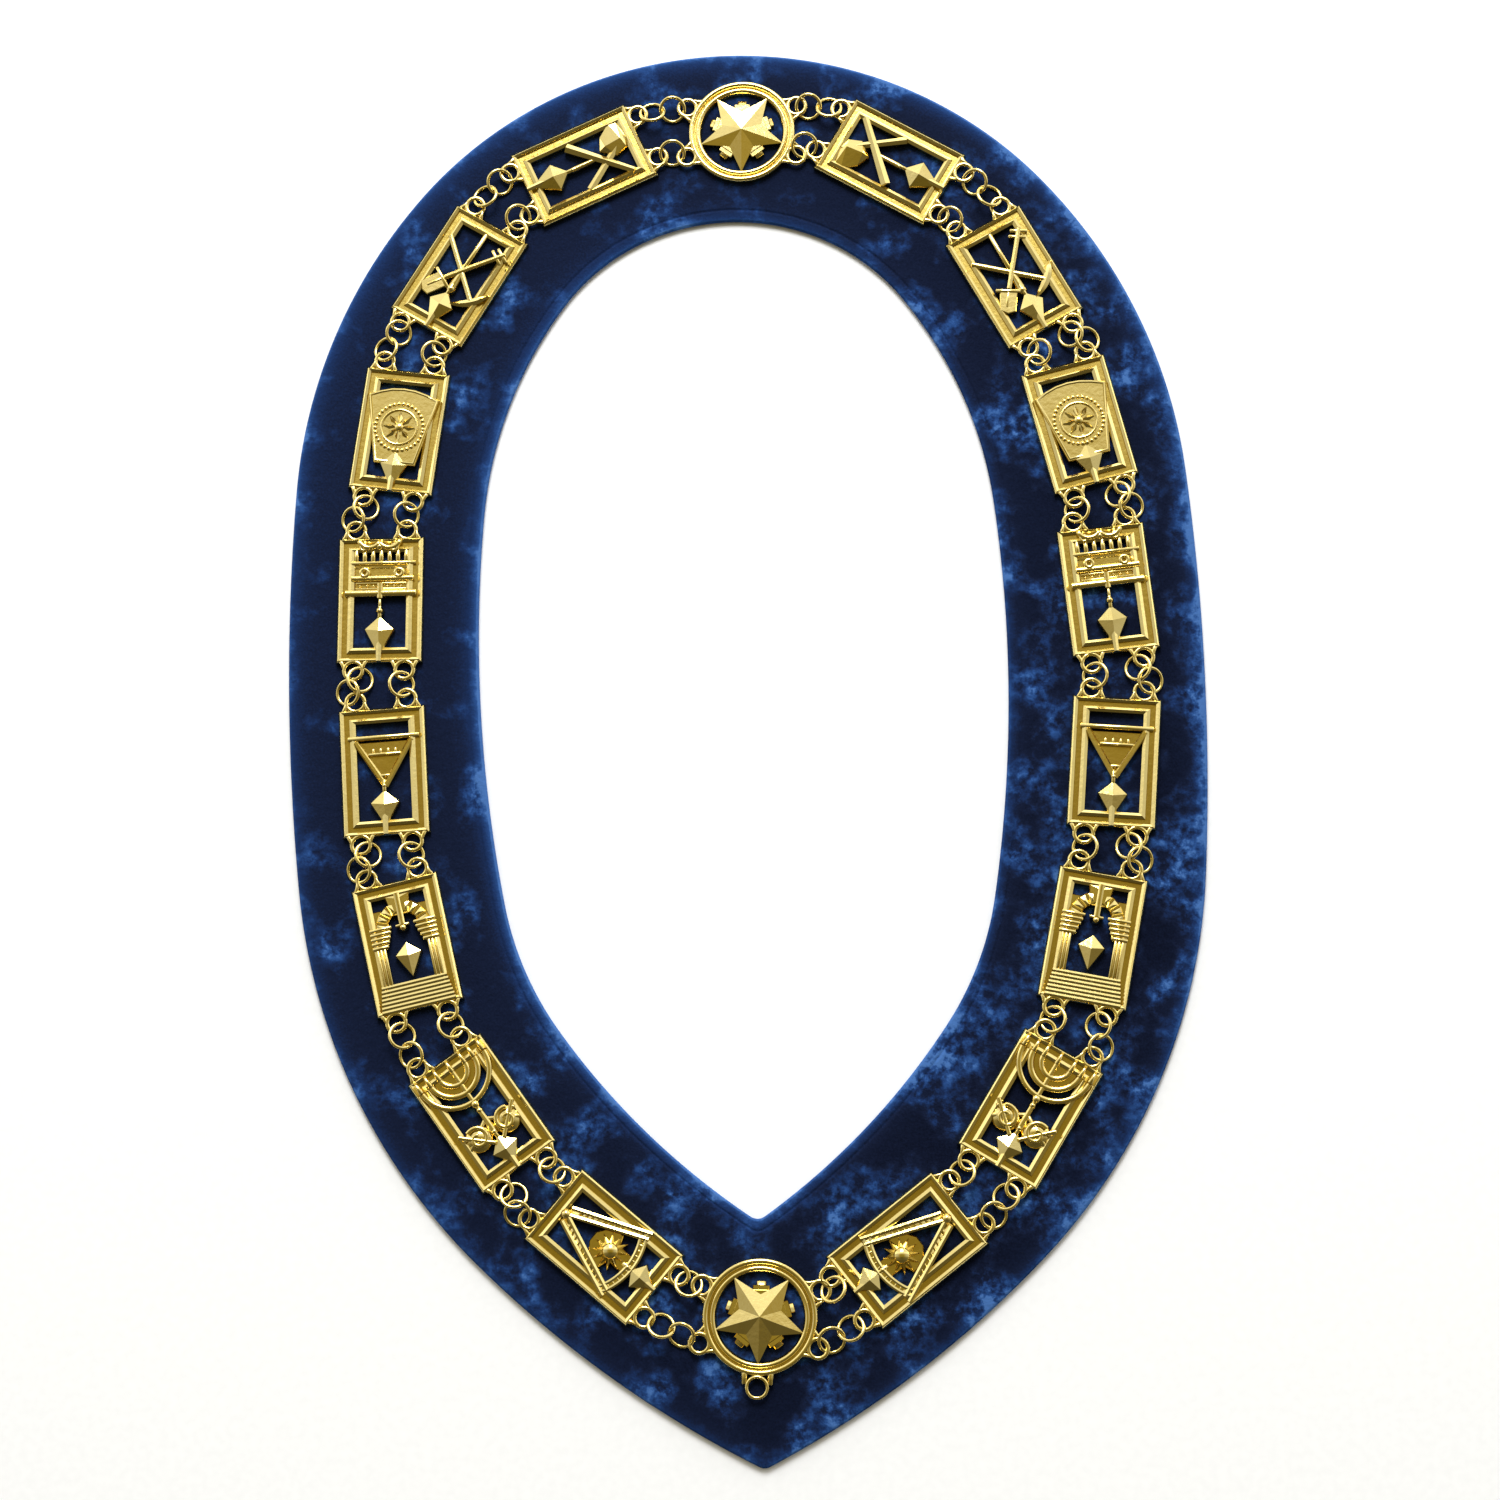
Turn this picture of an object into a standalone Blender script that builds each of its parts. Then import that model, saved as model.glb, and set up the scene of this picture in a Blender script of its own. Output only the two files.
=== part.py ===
"""A chain of office: gilt brass plates and medallions, linked by jump rings, on a velvet collar.

It lies flat: +Z is up, the nape is toward +Y and the pointed front toward -Y.
Sizes are in millimetres and become metres where a mesh is made.
"""

import math
from collections import namedtuple

import bmesh
import bpy
import numpy as np
from mathutils import Matrix

MM = 0.001

# ---------------------------------------------------------------- the velvet collar
BACKING_THICK = 2.6
EDGE_ROUND = 1.1

# Each edge runs from the nape down the left side as arcs, and is mirrored on the right.
# The last arc rounds the point, and has no turn of its own: it ends on the centre line.
Arc = namedtuple("Arc", "radius turn facets")
OUTER_APEX_Y = 309.0
OUTER_EDGE = (
    Arc(176, 49.1, 8),
    Arc(228, 36.5, 7),
    Arc(998, 9.9, 4),
    Arc(248, 39.9, 7),
    Arc(440, 17.95, 4),
    Arc(4.5, None, 1),
)
INNER_APEX_Y = 232.2
INNER_EDGE = (
    Arc(90, 53.6, 8),
    Arc(184, 30.7, 6),
    Arc(600, 16.1, 6),
    Arc(133, 24.4, 4),
    Arc(300, 20.62, 6),
    Arc(5.0, None, 1),
)
# The soft collar lies a little askew: its nape leans left of its front.
LEAN = 0.0185

# ---------------------------------------------------------------- the line of the chain
CHAIN_APEX_Y = 274.9
CHAIN_LINE = (
    Arc(137, 52.2, None),
    Arc(181, 27.1, None),
    Arc(560, 22.6, None),
    Arc(222, 47.0, None),
    Arc(86, 30.0, None),
)
FIRST_PITCH = 68.5
PITCH = 73.86
PLATES_A_SIDE = 8
LINE_LENGTH = 2 * FIRST_PITCH + (PLATES_A_SIDE - 1) * PITCH
# The whole chain has slipped round to the right at the nape, and less toward the front.
NAPE_SLIP = 6.6
NAPE_DROP = 2.9

# The plates are sewn on by hand: each is turned anticlockwise off the line, in degrees,
# and slid along it toward the front, in millimetres.
Sewn = namedtuple("Sewn", "left_turn left_slide right_turn right_slide")
SEWING = (
    Sewn(-4.6, 0.6, -2.6, -0.4),
    Sewn(0.0, 0.0, -3.5, 1.1),
    Sewn(1.6, 0.0, 3.1, 0.0),
    Sewn(1.8, 0.0, 2.1, -0.5),
    Sewn(-2.3, 0.0, -1.0, 0.0),
    Sewn(-2.5, -1.2, 1.5, -0.4),
    Sewn(2.5, 0.0, 0.4, 0.0),
    Sewn(-2.8, 0.0, -0.7, 1.4),
)

# ---------------------------------------------------------------- metalwork
GAP = 0.3
METAL_Z = BACKING_THICK + GAP
PLATE_WIDE = 36.5
PLATE_TALL = 54.3
BORDER = 7.2
FRAME_HIGH = 3.0
BAR_HIGH = 2.4
BLADE_EDGE = 3.2
BLADE_RIDGE = 4.6

LUG_OFFSET = 10.8
TOP_LUG_REACH = 3.9
BOTTOM_LUG_REACH = 2.9
LUG_OUTER = 4.2
LUG_HOLE = 3.0
LUG_LOW = 1.8
LUG_HIGH = 2.6
LUG_MID = METAL_Z + (LUG_LOW + LUG_HIGH) / 2
LUG_BENDS = 3

MEDALLION_R = 23.0
MEDALLION_INNER_R = 17.4
MEDALLION_SIDES = 16
MEDALLION_LUG_ANGLE = 25.5
MEDALLION_LUG_REACH = 3.5
NAPE_TURN = -1.0
FRONT_TURN = -3.0

# ---------------------------------------------------------------- jump rings
RING_R = 5.3
WIRE_R = 0.55
RING_SIDES = 8
WIRE_CORNERS = ((-1.0, -0.8), (1.0, -0.8), (0.0, 1.0))
RING_FLOOR = BACKING_THICK + GAP + WIRE_R
# Two linked rings lie this far apart, centre to centre, in a slack strand and in a taut one.
SLACK_LINK = 7.4
TAUT_LINK = 2 * RING_R - 0.3
LUG_CLEAR = 1.6
LINK_LAP = 0.6
SIDEWAYS = 1.5
JEWEL_RING_R = 3.8
JEWEL_RING_Y = 27.8


def clear_scene():
    for old in list(bpy.data.objects):
        bpy.data.objects.remove(old, do_unlink=True)


def material(name, colour, metallic, roughness):
    made = bpy.data.materials.new(name)
    made.use_nodes = True
    shader = made.node_tree.nodes["Principled BSDF"]
    shader.inputs["Base Color"].default_value = (*colour, 1)
    shader.inputs["Metallic"].default_value = metallic
    shader.inputs["Roughness"].default_value = roughness
    return made


def mesh_of(name, points, faces):
    """A closed mesh from points in millimetres, with its faces turned outward."""
    mesh = bpy.data.meshes.new(name)
    mesh.from_pydata([tuple(MM * c for c in p) for p in points], [], faces)
    work = bmesh.new()
    work.from_mesh(mesh)
    bmesh.ops.recalc_face_normals(work, faces=work.faces)
    work.to_mesh(mesh)
    work.free()
    return mesh


def add(name, mesh, surface, matrix=None):
    made = bpy.data.objects.new(name, mesh)
    if not mesh.materials:
        mesh.materials.append(surface)
    if matrix is not None:
        made.matrix_world = matrix
    bpy.context.scene.collection.objects.link(made)
    return made


def united(name, meshes):
    """One solid from overlapping ones, added one after another."""
    body = bpy.data.objects.new(name, meshes[0])
    bpy.context.scene.collection.objects.link(body)
    for mesh in meshes[1:]:
        piece = bpy.data.objects.new("piece", mesh)
        bpy.context.scene.collection.objects.link(piece)
        join = body.modifiers.new("join", "BOOLEAN")
        join.operation = "UNION"
        join.solver = "EXACT"
        join.object = piece
        graph = bpy.context.evaluated_depsgraph_get()
        grown = bpy.data.meshes.new_from_object(body.evaluated_get(graph))
        body.modifiers.clear()
        body.data = grown
        bpy.data.objects.remove(piece)
    result = body.data
    bpy.data.objects.remove(body)
    work = bmesh.new()
    work.from_mesh(result)
    bmesh.ops.remove_doubles(work, verts=work.verts, dist=2e-6)
    bmesh.ops.dissolve_limit(
        work, angle_limit=math.radians(0.5), verts=work.verts, edges=work.edges
    )
    bmesh.ops.triangulate(work, faces=work.faces)
    work.to_mesh(result)
    work.free()
    result.name = name
    return result


# ---------------------------------------------------------------- lines made of arcs


def arc_pieces(apex_y, arcs):
    """Start point, heading, radius and turn of each arc, the last one ending at x = 0."""
    x, y, heading = 0.0, apex_y, math.pi
    pieces = []
    for arc in arcs:
        cx = x - arc.radius * math.sin(heading)
        cy = y + arc.radius * math.cos(heading)
        if arc.turn is None:
            turn = 2 * math.pi - math.asin(cx / arc.radius) - heading
        else:
            turn = math.radians(arc.turn)
        pieces.append((cx, cy, heading, arc.radius, turn))
        heading += turn
        x = cx + arc.radius * math.sin(heading)
        y = cy - arc.radius * math.cos(heading)
    return pieces


def on_line(pieces, distance):
    """The point and heading at a distance along a line of arcs."""
    for cx, cy, heading, radius, turn in pieces:
        if distance <= radius * turn or (cx, cy) == pieces[-1][:2]:
            heading += distance / radius
            return cx + radius * math.sin(heading), cy - radius * math.cos(heading), heading
        distance -= radius * turn


def leaned(x, y):
    return x - LEAN * y, y


def edge_points(apex_y, arcs):
    """Points round a whole edge: down the left side, then back up the right one."""
    left = [(0.0, apex_y)]
    for (cx, cy, heading, radius, turn), arc in zip(arc_pieces(apex_y, arcs), arcs):
        for k in range(arc.facets):
            angle = heading + turn * (k + 1) / arc.facets
            left.append((cx + radius * math.sin(angle), cy - radius * math.cos(angle)))
    right = [(-x, y) for x, y in left[-2:0:-1]]
    return np.array([leaned(x, y) for x, y in left + right])


def inset(points, distance):
    """A closed outline moved sideways to its left by a distance, mitred at its corners."""
    ahead = np.roll(points, -1, axis=0) - points
    ahead /= np.linalg.norm(ahead, axis=1)[:, None]
    behind = np.roll(ahead, 1, axis=0)
    normal = np.stack([-(ahead + behind)[:, 1], (ahead + behind)[:, 0]], axis=1)
    normal /= (1 + (ahead * behind).sum(axis=1))[:, None]
    return points + distance * normal


OUTER = edge_points(OUTER_APEX_Y, OUTER_EDGE)
INNER = edge_points(INNER_APEX_Y, INNER_EDGE)
CENTRE = (OUTER.min(axis=0) + OUTER.max(axis=0)) / 2


def backing_mesh():
    """The padded collar: a flat band between its two edges, with rounded rims."""
    rings = (
        (inset(OUTER, EDGE_ROUND / 2), 0.0),
        (OUTER, BACKING_THICK / 2),
        (inset(OUTER, EDGE_ROUND), BACKING_THICK),
        (inset(INNER, -EDGE_ROUND), BACKING_THICK),
        (INNER, BACKING_THICK / 2),
        (inset(INNER, -EDGE_ROUND / 2), 0.0),
    )
    count = len(OUTER)
    points = []
    for outline, z in rings:
        points += [(x - CENTRE[0], y - CENTRE[1], z) for x, y in outline]
    faces = []
    for i in range(len(rings)):
        j = (i + 1) % len(rings)
        for k in range(count):
            m = (k + 1) % count
            faces.append((i * count + k, i * count + m, j * count + m, j * count + k))
    return mesh_of("velvet_backing", points, faces)


# ---------------------------------------------------------------- shapes of the castings


def prism(outline, low, high):
    """A flat shape of even thickness from its outline."""
    n = len(outline)
    points = [(x, y, low) for x, y in outline] + [(x, y, high) for x, y in outline]
    sides = [(k, (k + 1) % n, (k + 1) % n + n, k + n) for k in range(n)]
    caps = [tuple(range(n))[::-1], tuple(range(n, 2 * n))]
    return mesh_of("prism", points, sides + caps)


def band(outer, inner, low, high, closed):
    """A flat strip between two lines of as many points, either closed or with two ends."""
    n = len(outer)
    points = []
    for line, z in ((outer, low), (outer, high), (inner, high), (inner, low)):
        points += [(x, y, z) for x, y in line]
    faces = []
    for i in range(4):
        j = (i + 1) % 4
        for k in range(n if closed else n - 1):
            m = (k + 1) % n
            faces.append((i * n + k, i * n + m, j * n + m, j * n + k))
    if not closed:
        faces.append((0, n, 2 * n, 3 * n))
        faces.append((n - 1, 4 * n - 1, 3 * n - 1, 2 * n - 1))
    return mesh_of("band", points, faces)


def bar(start, end, wide, low, high, wide_end=None):
    """A straight bar between two points of the plate, which may taper."""
    (x0, y0), (x1, y1) = start, end
    length = math.hypot(x1 - x0, y1 - y0)
    nx, ny = -(y1 - y0) / length / 2, (x1 - x0) / length / 2
    a, b = wide, wide if wide_end is None else wide_end
    outline = (
        (x0 + a * nx, y0 + a * ny),
        (x0 - a * nx, y0 - a * ny),
        (x1 - b * nx, y1 - b * ny),
        (x1 + b * nx, y1 + b * ny),
    )
    return prism(outline, low, high)


def arc_line(centre, radius, start, end, steps):
    angles = [math.radians(start + (end - start) * k / steps) for k in range(steps + 1)]
    return [(centre[0] + radius * math.cos(a), centre[1] + radius * math.sin(a)) for a in angles]


def arc_band(centre, inner, outer, start, end, steps, low, high):
    return band(
        arc_line(centre, outer, start, end, steps),
        arc_line(centre, inner, start, end, steps),
        low,
        high,
        False,
    )


def ring_band(centre, inner, outer, sides, low, high):
    full = 360 - 360 / sides
    return band(
        arc_line(centre, outer, 0, full, sides - 1),
        arc_line(centre, inner, 0, full, sides - 1),
        low,
        high,
        True,
    )


def on_plate(u, v):
    """A point of the plate from fractions of its width, from the left, and its height, from the top."""
    return (u - 0.5) * PLATE_WIDE, (0.5 - v) * PLATE_TALL


def shape(pairs, low, high):
    return prism([on_plate(u, v) for u, v in pairs], low, high)


def stick(u0, v0, u1, v1, wide, low, high, wide_end=None):
    return bar(on_plate(u0, v0), on_plate(u1, v1), wide, low, high, wide_end)


def frame():
    """The rectangular frame, whose outer edge is bevelled."""
    profile = ((0.0, 0.0), (0.5, FRAME_HIGH), (BORDER, FRAME_HIGH), (BORDER, 0.0))
    points = []
    for depth, z in profile:
        x, y = PLATE_WIDE / 2 - depth, PLATE_TALL / 2 - depth
        points += [(x, y, z), (-x, y, z), (-x, -y, z), (x, -y, z)]
    count = len(profile)
    faces = []
    for i in range(count):
        j = (i + 1) % count
        for k in range(4):
            m = (k + 1) % 4
            faces.append((i * 4 + k, i * 4 + m, j * 4 + m, j * 4 + k))
    return mesh_of("frame", points, faces)


def lug(foot, direction, reach, low=LUG_LOW, high=LUG_HIGH):
    """An eyelet: a loop whose two legs run back into the casting it is cast with."""
    fx, fy = foot
    angle = math.degrees(math.atan2(direction[1], direction[0]))
    centre = (fx + reach * direction[0], fy + reach * direction[1])
    root = reach + 1.0

    def loop(radius):
        line = arc_line(centre, radius, angle - 90, angle + 90, LUG_BENDS)
        back = (-root * direction[0], -root * direction[1])
        first = (line[0][0] + back[0], line[0][1] + back[1])
        last = (line[-1][0] + back[0], line[-1][1] + back[1])
        return [first] + line + [last]

    return band(loop(LUG_OUTER), loop(LUG_HOLE), low, high, False)


def trowel(top, widest, tip, half, handle_top, handle_wide):
    """A trowel pointing down: a ridged kite of a blade, and its tang or handle above."""
    corners = ((0.5, top), (0.5 - half, widest), (0.5, tip), (0.5 + half, widest))
    edge = [on_plate(*corner) for corner in corners]
    points = [(x, y, 0.1) for x, y in edge] + [(x, y, BLADE_EDGE) for x, y in edge]
    points.append((*on_plate(0.5, widest), BLADE_RIDGE))
    faces = [(0, 1, 2, 3)]
    for k in range(4):
        m = (k + 1) % 4
        faces += [(k, m, m + 4, k + 4), (k + 4, m + 4, 8)]
    blade = mesh_of("blade", points, faces)
    handle = stick(0.5, handle_top, 0.5, top + 0.04, handle_wide, 0.15, BAR_HIGH + 0.2)
    return [blade, handle]


# ---------------------------------------------------------------- the eight designs


def axe_and_baton():
    head = ((0.13, 0.10), (0.36, 0.085), (0.52, 0.20), (0.44, 0.33), (0.24, 0.30), (0.17, 0.22))
    return [
        shape(head, 0.2, 3.1),
        stick(0.36, 0.05, 0.86, 0.58, 2.6, 0.1, BAR_HIGH),
        stick(0.90, 0.08, 0.17, 0.57, 3.2, 0.25, BAR_HIGH + 0.3),
    ] + trowel(0.63, 0.745, 1.037, 0.18, 0.28, 2.2)


def crow_pick_and_spade():
    pick_head = (
        arc_line(on_plate(0.20, 0.06), 31.5, -75, -42, 3)
        + arc_line(on_plate(0.20, 0.06), 28.8, -42, -75, 3)
    )
    spade_blade = ((0.26, 0.57), (0.44, 0.62), (0.29, 0.755), (0.08, 0.71))
    return [
        stick(0.51, 0.06, 0.51, 0.50, 2.2, 0.1, BAR_HIGH),
        stick(0.09, 0.21, 0.80, 0.655, 2.4, 0.15, BAR_HIGH + 0.2),
        stick(0.88, 0.145, 0.28, 0.66, 2.4, 0.2, BAR_HIGH + 0.4),
        prism(pick_head, 0.25, BAR_HIGH + 0.3),
        shape(spade_blade, 0.3, BAR_HIGH + 0.1),
    ] + trowel(0.655, 0.765, 1.037, 0.17, 0.44, 3.4)


def keystone():
    stone = (
        (0.06, 0.215),
        (0.27, 0.17),
        (0.48, 0.15),
        (0.70, 0.175),
        (0.94, 0.215),
        (0.74, 0.775),
        (0.26, 0.775),
    )
    return [
        shape(stone, 0.1, 3.3),
        ring_band(on_plate(0.49, 0.46), 6.8, 10.6, 8, 1.0, 3.9),
    ] + trowel(0.64, 0.775, 1.035, 0.165, 0.55, 3.0)


def ark():
    return [
        shape(((0.16, 0.185), (0.84, 0.185), (0.80, 0.42), (0.20, 0.42)), 0.1, 1.9),
        stick(0.10, 0.20, 0.90, 0.20, 1.6, 0.15, BAR_HIGH + 0.2),
        stick(0.10, 0.315, 0.90, 0.315, 2.0, 0.2, BAR_HIGH + 0.6),
        stick(0.09, 0.433, 0.91, 0.433, 2.5, 0.25, BAR_HIGH + 0.3),
        ring_band(on_plate(0.28, 0.275), 1.2, 2.7, 6, 1.0, BAR_HIGH + 0.5),
        ring_band(on_plate(0.70, 0.275), 1.2, 2.7, 6, 1.0, BAR_HIGH + 0.4),
    ] + trowel(0.60, 0.73, 1.02, 0.17, 0.38, 3.2)


def triangle():
    return [
        shape(((0.19, 0.25), (0.81, 0.25), (0.50, 0.61)), 0.1, 1.3),
        stick(0.10, 0.222, 0.90, 0.222, 1.9, 0.15, BAR_HIGH + 0.1),
        stick(0.17, 0.235, 0.50, 0.61, 2.6, 0.2, BAR_HIGH + 0.5),
        stick(0.83, 0.235, 0.50, 0.61, 2.6, 0.25, BAR_HIGH + 0.4),
        stick(0.34, 0.32, 0.66, 0.32, 2.6, 0.9, 2.1),
    ] + trowel(0.59, 0.73, 1.0, 0.17, 0.54, 3.0)


def arch_and_columns():
    centre = on_plate(0.50, 0.335)
    return [
        arc_band(centre, 6.6, 11.4, 0, 180, 6, 0.1, BAR_HIGH + 0.3),
        stick(0.245, 0.325, 0.245, 0.82, 4.8, 0.15, BAR_HIGH),
        stick(0.755, 0.325, 0.755, 0.82, 4.8, 0.2, BAR_HIGH + 0.1),
        stick(0.12, 0.333, 0.36, 0.333, 1.8, 0.25, BAR_HIGH + 0.5),
        stick(0.64, 0.333, 0.88, 0.333, 1.8, 0.3, BAR_HIGH + 0.4),
        stick(0.50, 0.06, 0.50, 0.20, 4.4, 0.35, BAR_HIGH + 0.6),
        shape(((0.10, 0.775), (0.90, 0.775), (0.90, 0.90), (0.10, 0.90)), 0.05, 1.7),
    ] + trowel(0.465, 0.56, 0.83, 0.18, 0.12, 1.7)


def candlestick():
    centre = on_plate(0.50, 0.085)
    branches = [
        arc_band(centre, radius - 0.8, radius + 0.8, 180, 360, 4, 0.2 + 0.05 * k, BAR_HIGH + 0.1 * k)
        for k, radius in enumerate((15.4, 10.6, 6.0))
    ]
    return branches + [
        stick(0.50, 0.05, 0.50, 0.66, 2.2, 0.1, BAR_HIGH + 0.5),
        stick(0.33, 0.413, 0.67, 0.413, 3.4, 0.35, BAR_HIGH + 0.3),
        stick(0.18, 0.56, 0.82, 0.56, 2.2, 0.4, BAR_HIGH + 0.2),
        stick(0.24, 0.56, 0.50, 0.69, 2.6, 0.45, BAR_HIGH),
        stick(0.76, 0.56, 0.50, 0.69, 2.6, 0.5, BAR_HIGH),
    ] + trowel(0.69, 0.80, 1.04, 0.17, 0.56, 2.8)


def compasses():
    centre = on_plate(0.50, 0.12)
    return [
        stick(0.49, 0.07, 0.10, 0.71, 2.9, 0.1, BAR_HIGH + 0.4),
        stick(0.51, 0.07, 0.90, 0.71, 2.9, 0.15, BAR_HIGH + 0.5),
        arc_band(centre, 31.0, 34.6, -113, -67, 5, 0.2, BAR_HIGH + 0.1),
        shape(((0.41, 0.10), (0.50, 0.04), (0.59, 0.10), (0.50, 0.16)), 0.25, 3.4),
        prism(arc_line(on_plate(0.50, 0.55), 7.0, 0, 315, 7), 0.3, 2.2),
        stick(0.22, 0.57, 0.78, 0.57, 2.4, 0.35, 1.9),
    ] + trowel(0.745, 0.82, 1.045, 0.165, 0.66, 3.0)


DESIGNS = (
    ("axe_and_baton", axe_and_baton),
    ("crow_pick_and_spade", crow_pick_and_spade),
    ("keystone", keystone),
    ("ark", ark),
    ("triangle", triangle),
    ("arch_and_columns", arch_and_columns),
    ("candlestick", candlestick),
    ("compasses", compasses),
)


def plate_lugs():
    """The feet, directions and reaches of a plate's four eyelets, by end and side."""
    half = PLATE_TALL / 2
    return {
        ("top", "left"): ((-LUG_OFFSET, half), (0, 1), TOP_LUG_REACH),
        ("top", "right"): ((LUG_OFFSET, half), (0, 1), TOP_LUG_REACH),
        ("bottom", "left"): ((-LUG_OFFSET, -half), (0, -1), BOTTOM_LUG_REACH),
        ("bottom", "right"): ((LUG_OFFSET, -half), (0, -1), BOTTOM_LUG_REACH),
    }


def medallion_lugs():
    found = {}
    for end, side, angle in (
        ("upper", "left", 180 - MEDALLION_LUG_ANGLE),
        ("lower", "left", 180 + MEDALLION_LUG_ANGLE),
        ("upper", "right", MEDALLION_LUG_ANGLE),
        ("lower", "right", -MEDALLION_LUG_ANGLE),
    ):
        way = (math.cos(math.radians(angle)), math.sin(math.radians(angle)))
        foot = ((MEDALLION_R - 0.5) * way[0], (MEDALLION_R - 0.5) * way[1])
        found[end, side] = (foot, way, MEDALLION_LUG_REACH + 0.5)
    return found


def star():
    """A five-pointed star with one point down, each point raised to a ridge."""
    tips = arc_line((0, 0), MEDALLION_INNER_R + 1.4, -90, 198, 4)
    notches = arc_line((0, 0), 0.44 * MEDALLION_INNER_R, -54, 234, 4)
    edge = [p for pair in zip(tips, notches) for p in pair]
    points = [(x, y, 0.2) for x, y in edge] + [(x, y, 1.5) for x, y in edge]
    points += [(0, 0, 0.2), (0, 0, 4.0)]
    faces = []
    for k in range(10):
        m = (k + 1) % 10
        faces += [(k, m, m + 10, k + 10), (m, k, 20), (k + 10, m + 10, 21)]
    return mesh_of("star", points, faces)


def medallion_mesh(name, with_jewel_lug):
    """A ring round a star with stepped blocks between its points, and four eyelets."""
    pieces = [ring_band((0, 0), MEDALLION_INNER_R, MEDALLION_R, MEDALLION_SIDES, 0, FRAME_HIGH), star()]
    for k in range(5):
        angle = math.radians(-54 + 72 * k)
        way = (math.cos(angle), math.sin(angle))
        pieces.append(
            bar(
                (4.0 * way[0], 4.0 * way[1]),
                (11.6 * way[0], 11.6 * way[1]),
                7.6,
                0.25 + 0.02 * k,
                1.9,
                4.2,
            )
        )
    for k, (foot, way, reach) in enumerate(medallion_lugs().values()):
        pieces.append(lug(foot, way, reach, LUG_LOW - 0.02 * k, LUG_HIGH - 0.05))
    if with_jewel_lug:
        for side in (-1, 1):
            pieces.append(bar((side * 5.8, -21.0), (side * 5.8, -26.6), 1.8, 0.5, 2.3))
    return united(name, pieces)


# ---------------------------------------------------------------- where each casting lies


def seat(distance, side):
    """Position and heading of the line of the chain, at a distance from the nape."""
    slip = NAPE_SLIP * (1 - distance / LINE_LENGTH) ** 2
    line = arc_pieces(CHAIN_APEX_Y, CHAIN_LINE)
    x, y, heading = on_line(line, distance + (-slip if side == "left" else slip))
    way = (math.cos(heading), math.sin(heading))
    if side == "right":
        x, way = -x, (-way[0], way[1])
    x, y = leaned(x, y)
    tilt = math.atan2(way[0] - LEAN * way[1], -way[1])
    return x - CENTRE[0], y - CENTRE[1], tilt


def placed(x, y, turn):
    return Matrix.Translation((MM * x, MM * y, MM * METAL_Z)) @ Matrix.Rotation(turn, 4, "Z")


def seats():
    """The matrix of every casting: the two medallions and the plates of both sides."""
    nape_x, nape_y = leaned(NAPE_SLIP, CHAIN_APEX_Y - NAPE_DROP)
    front_y = on_line(arc_pieces(CHAIN_APEX_Y, CHAIN_LINE), LINE_LENGTH)[1]
    front_x = leaned(0, front_y)[0]
    found = {
        "nape": placed(nape_x - CENTRE[0], nape_y - CENTRE[1], math.radians(NAPE_TURN)),
        "front": placed(front_x - CENTRE[0], front_y - CENTRE[1], math.radians(FRONT_TURN)),
    }
    for side in ("left", "right"):
        for k, sewn in enumerate(SEWING):
            slide = getattr(sewn, side + "_slide")
            x, y, tilt = seat(FIRST_PITCH + k * PITCH + slide, side)
            turn = math.radians(getattr(sewn, side + "_turn"))
            found[side, k] = placed(x, y, tilt + turn)
    return found


def eye(matrix, lug_row):
    """The centre of an eyelet's hole, in millimetres, seen from above."""
    (fx, fy), (dx, dy), reach = lug_row
    at = matrix @ Matrix.Translation((MM * (fx + reach * dx), MM * (fy + reach * dy), 0))
    return np.array(at.translation[:2]) / MM


# ---------------------------------------------------------------- jump rings


def crossings(c1, r1, c2, r2, outward):
    """Where two circles cross, the one toward `outward` first."""
    span = c2 - c1
    d = np.linalg.norm(span)
    along = (d * d + r1 * r1 - r2 * r2) / (2 * d)
    across = math.sqrt(max(r1 * r1 - along * along, 0.01))
    side = np.array([-span[1], span[0]]) / d
    if side @ outward < 0:
        side = -side
    middle = c1 + along * span / d
    return middle + across * side, middle - across * side


def one_ring(eye_a, eye_b, outward):
    """Centre and plane of the single ring that joins two eyelets."""
    middle = (eye_a + eye_b) / 2
    half = np.linalg.norm(eye_b - eye_a) / 2
    aside = max(math.sqrt(max(RING_R**2 - half**2, 0)), SIDEWAYS)
    centre = middle + aside * outward
    rows, wanted = [], []
    for hole in (eye_a, eye_b):
        for point, height in zip(
            crossings(centre, RING_R, hole, (LUG_OUTER + LUG_HOLE) / 2, outward), (1, -1)
        ):
            rows.append([*(point - centre), 1])
            wanted.append(height * LUG_CLEAR)
    plane = np.linalg.lstsq(np.array(rows), np.array(wanted), rcond=None)[0]
    return [(centre, plane)]


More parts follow.
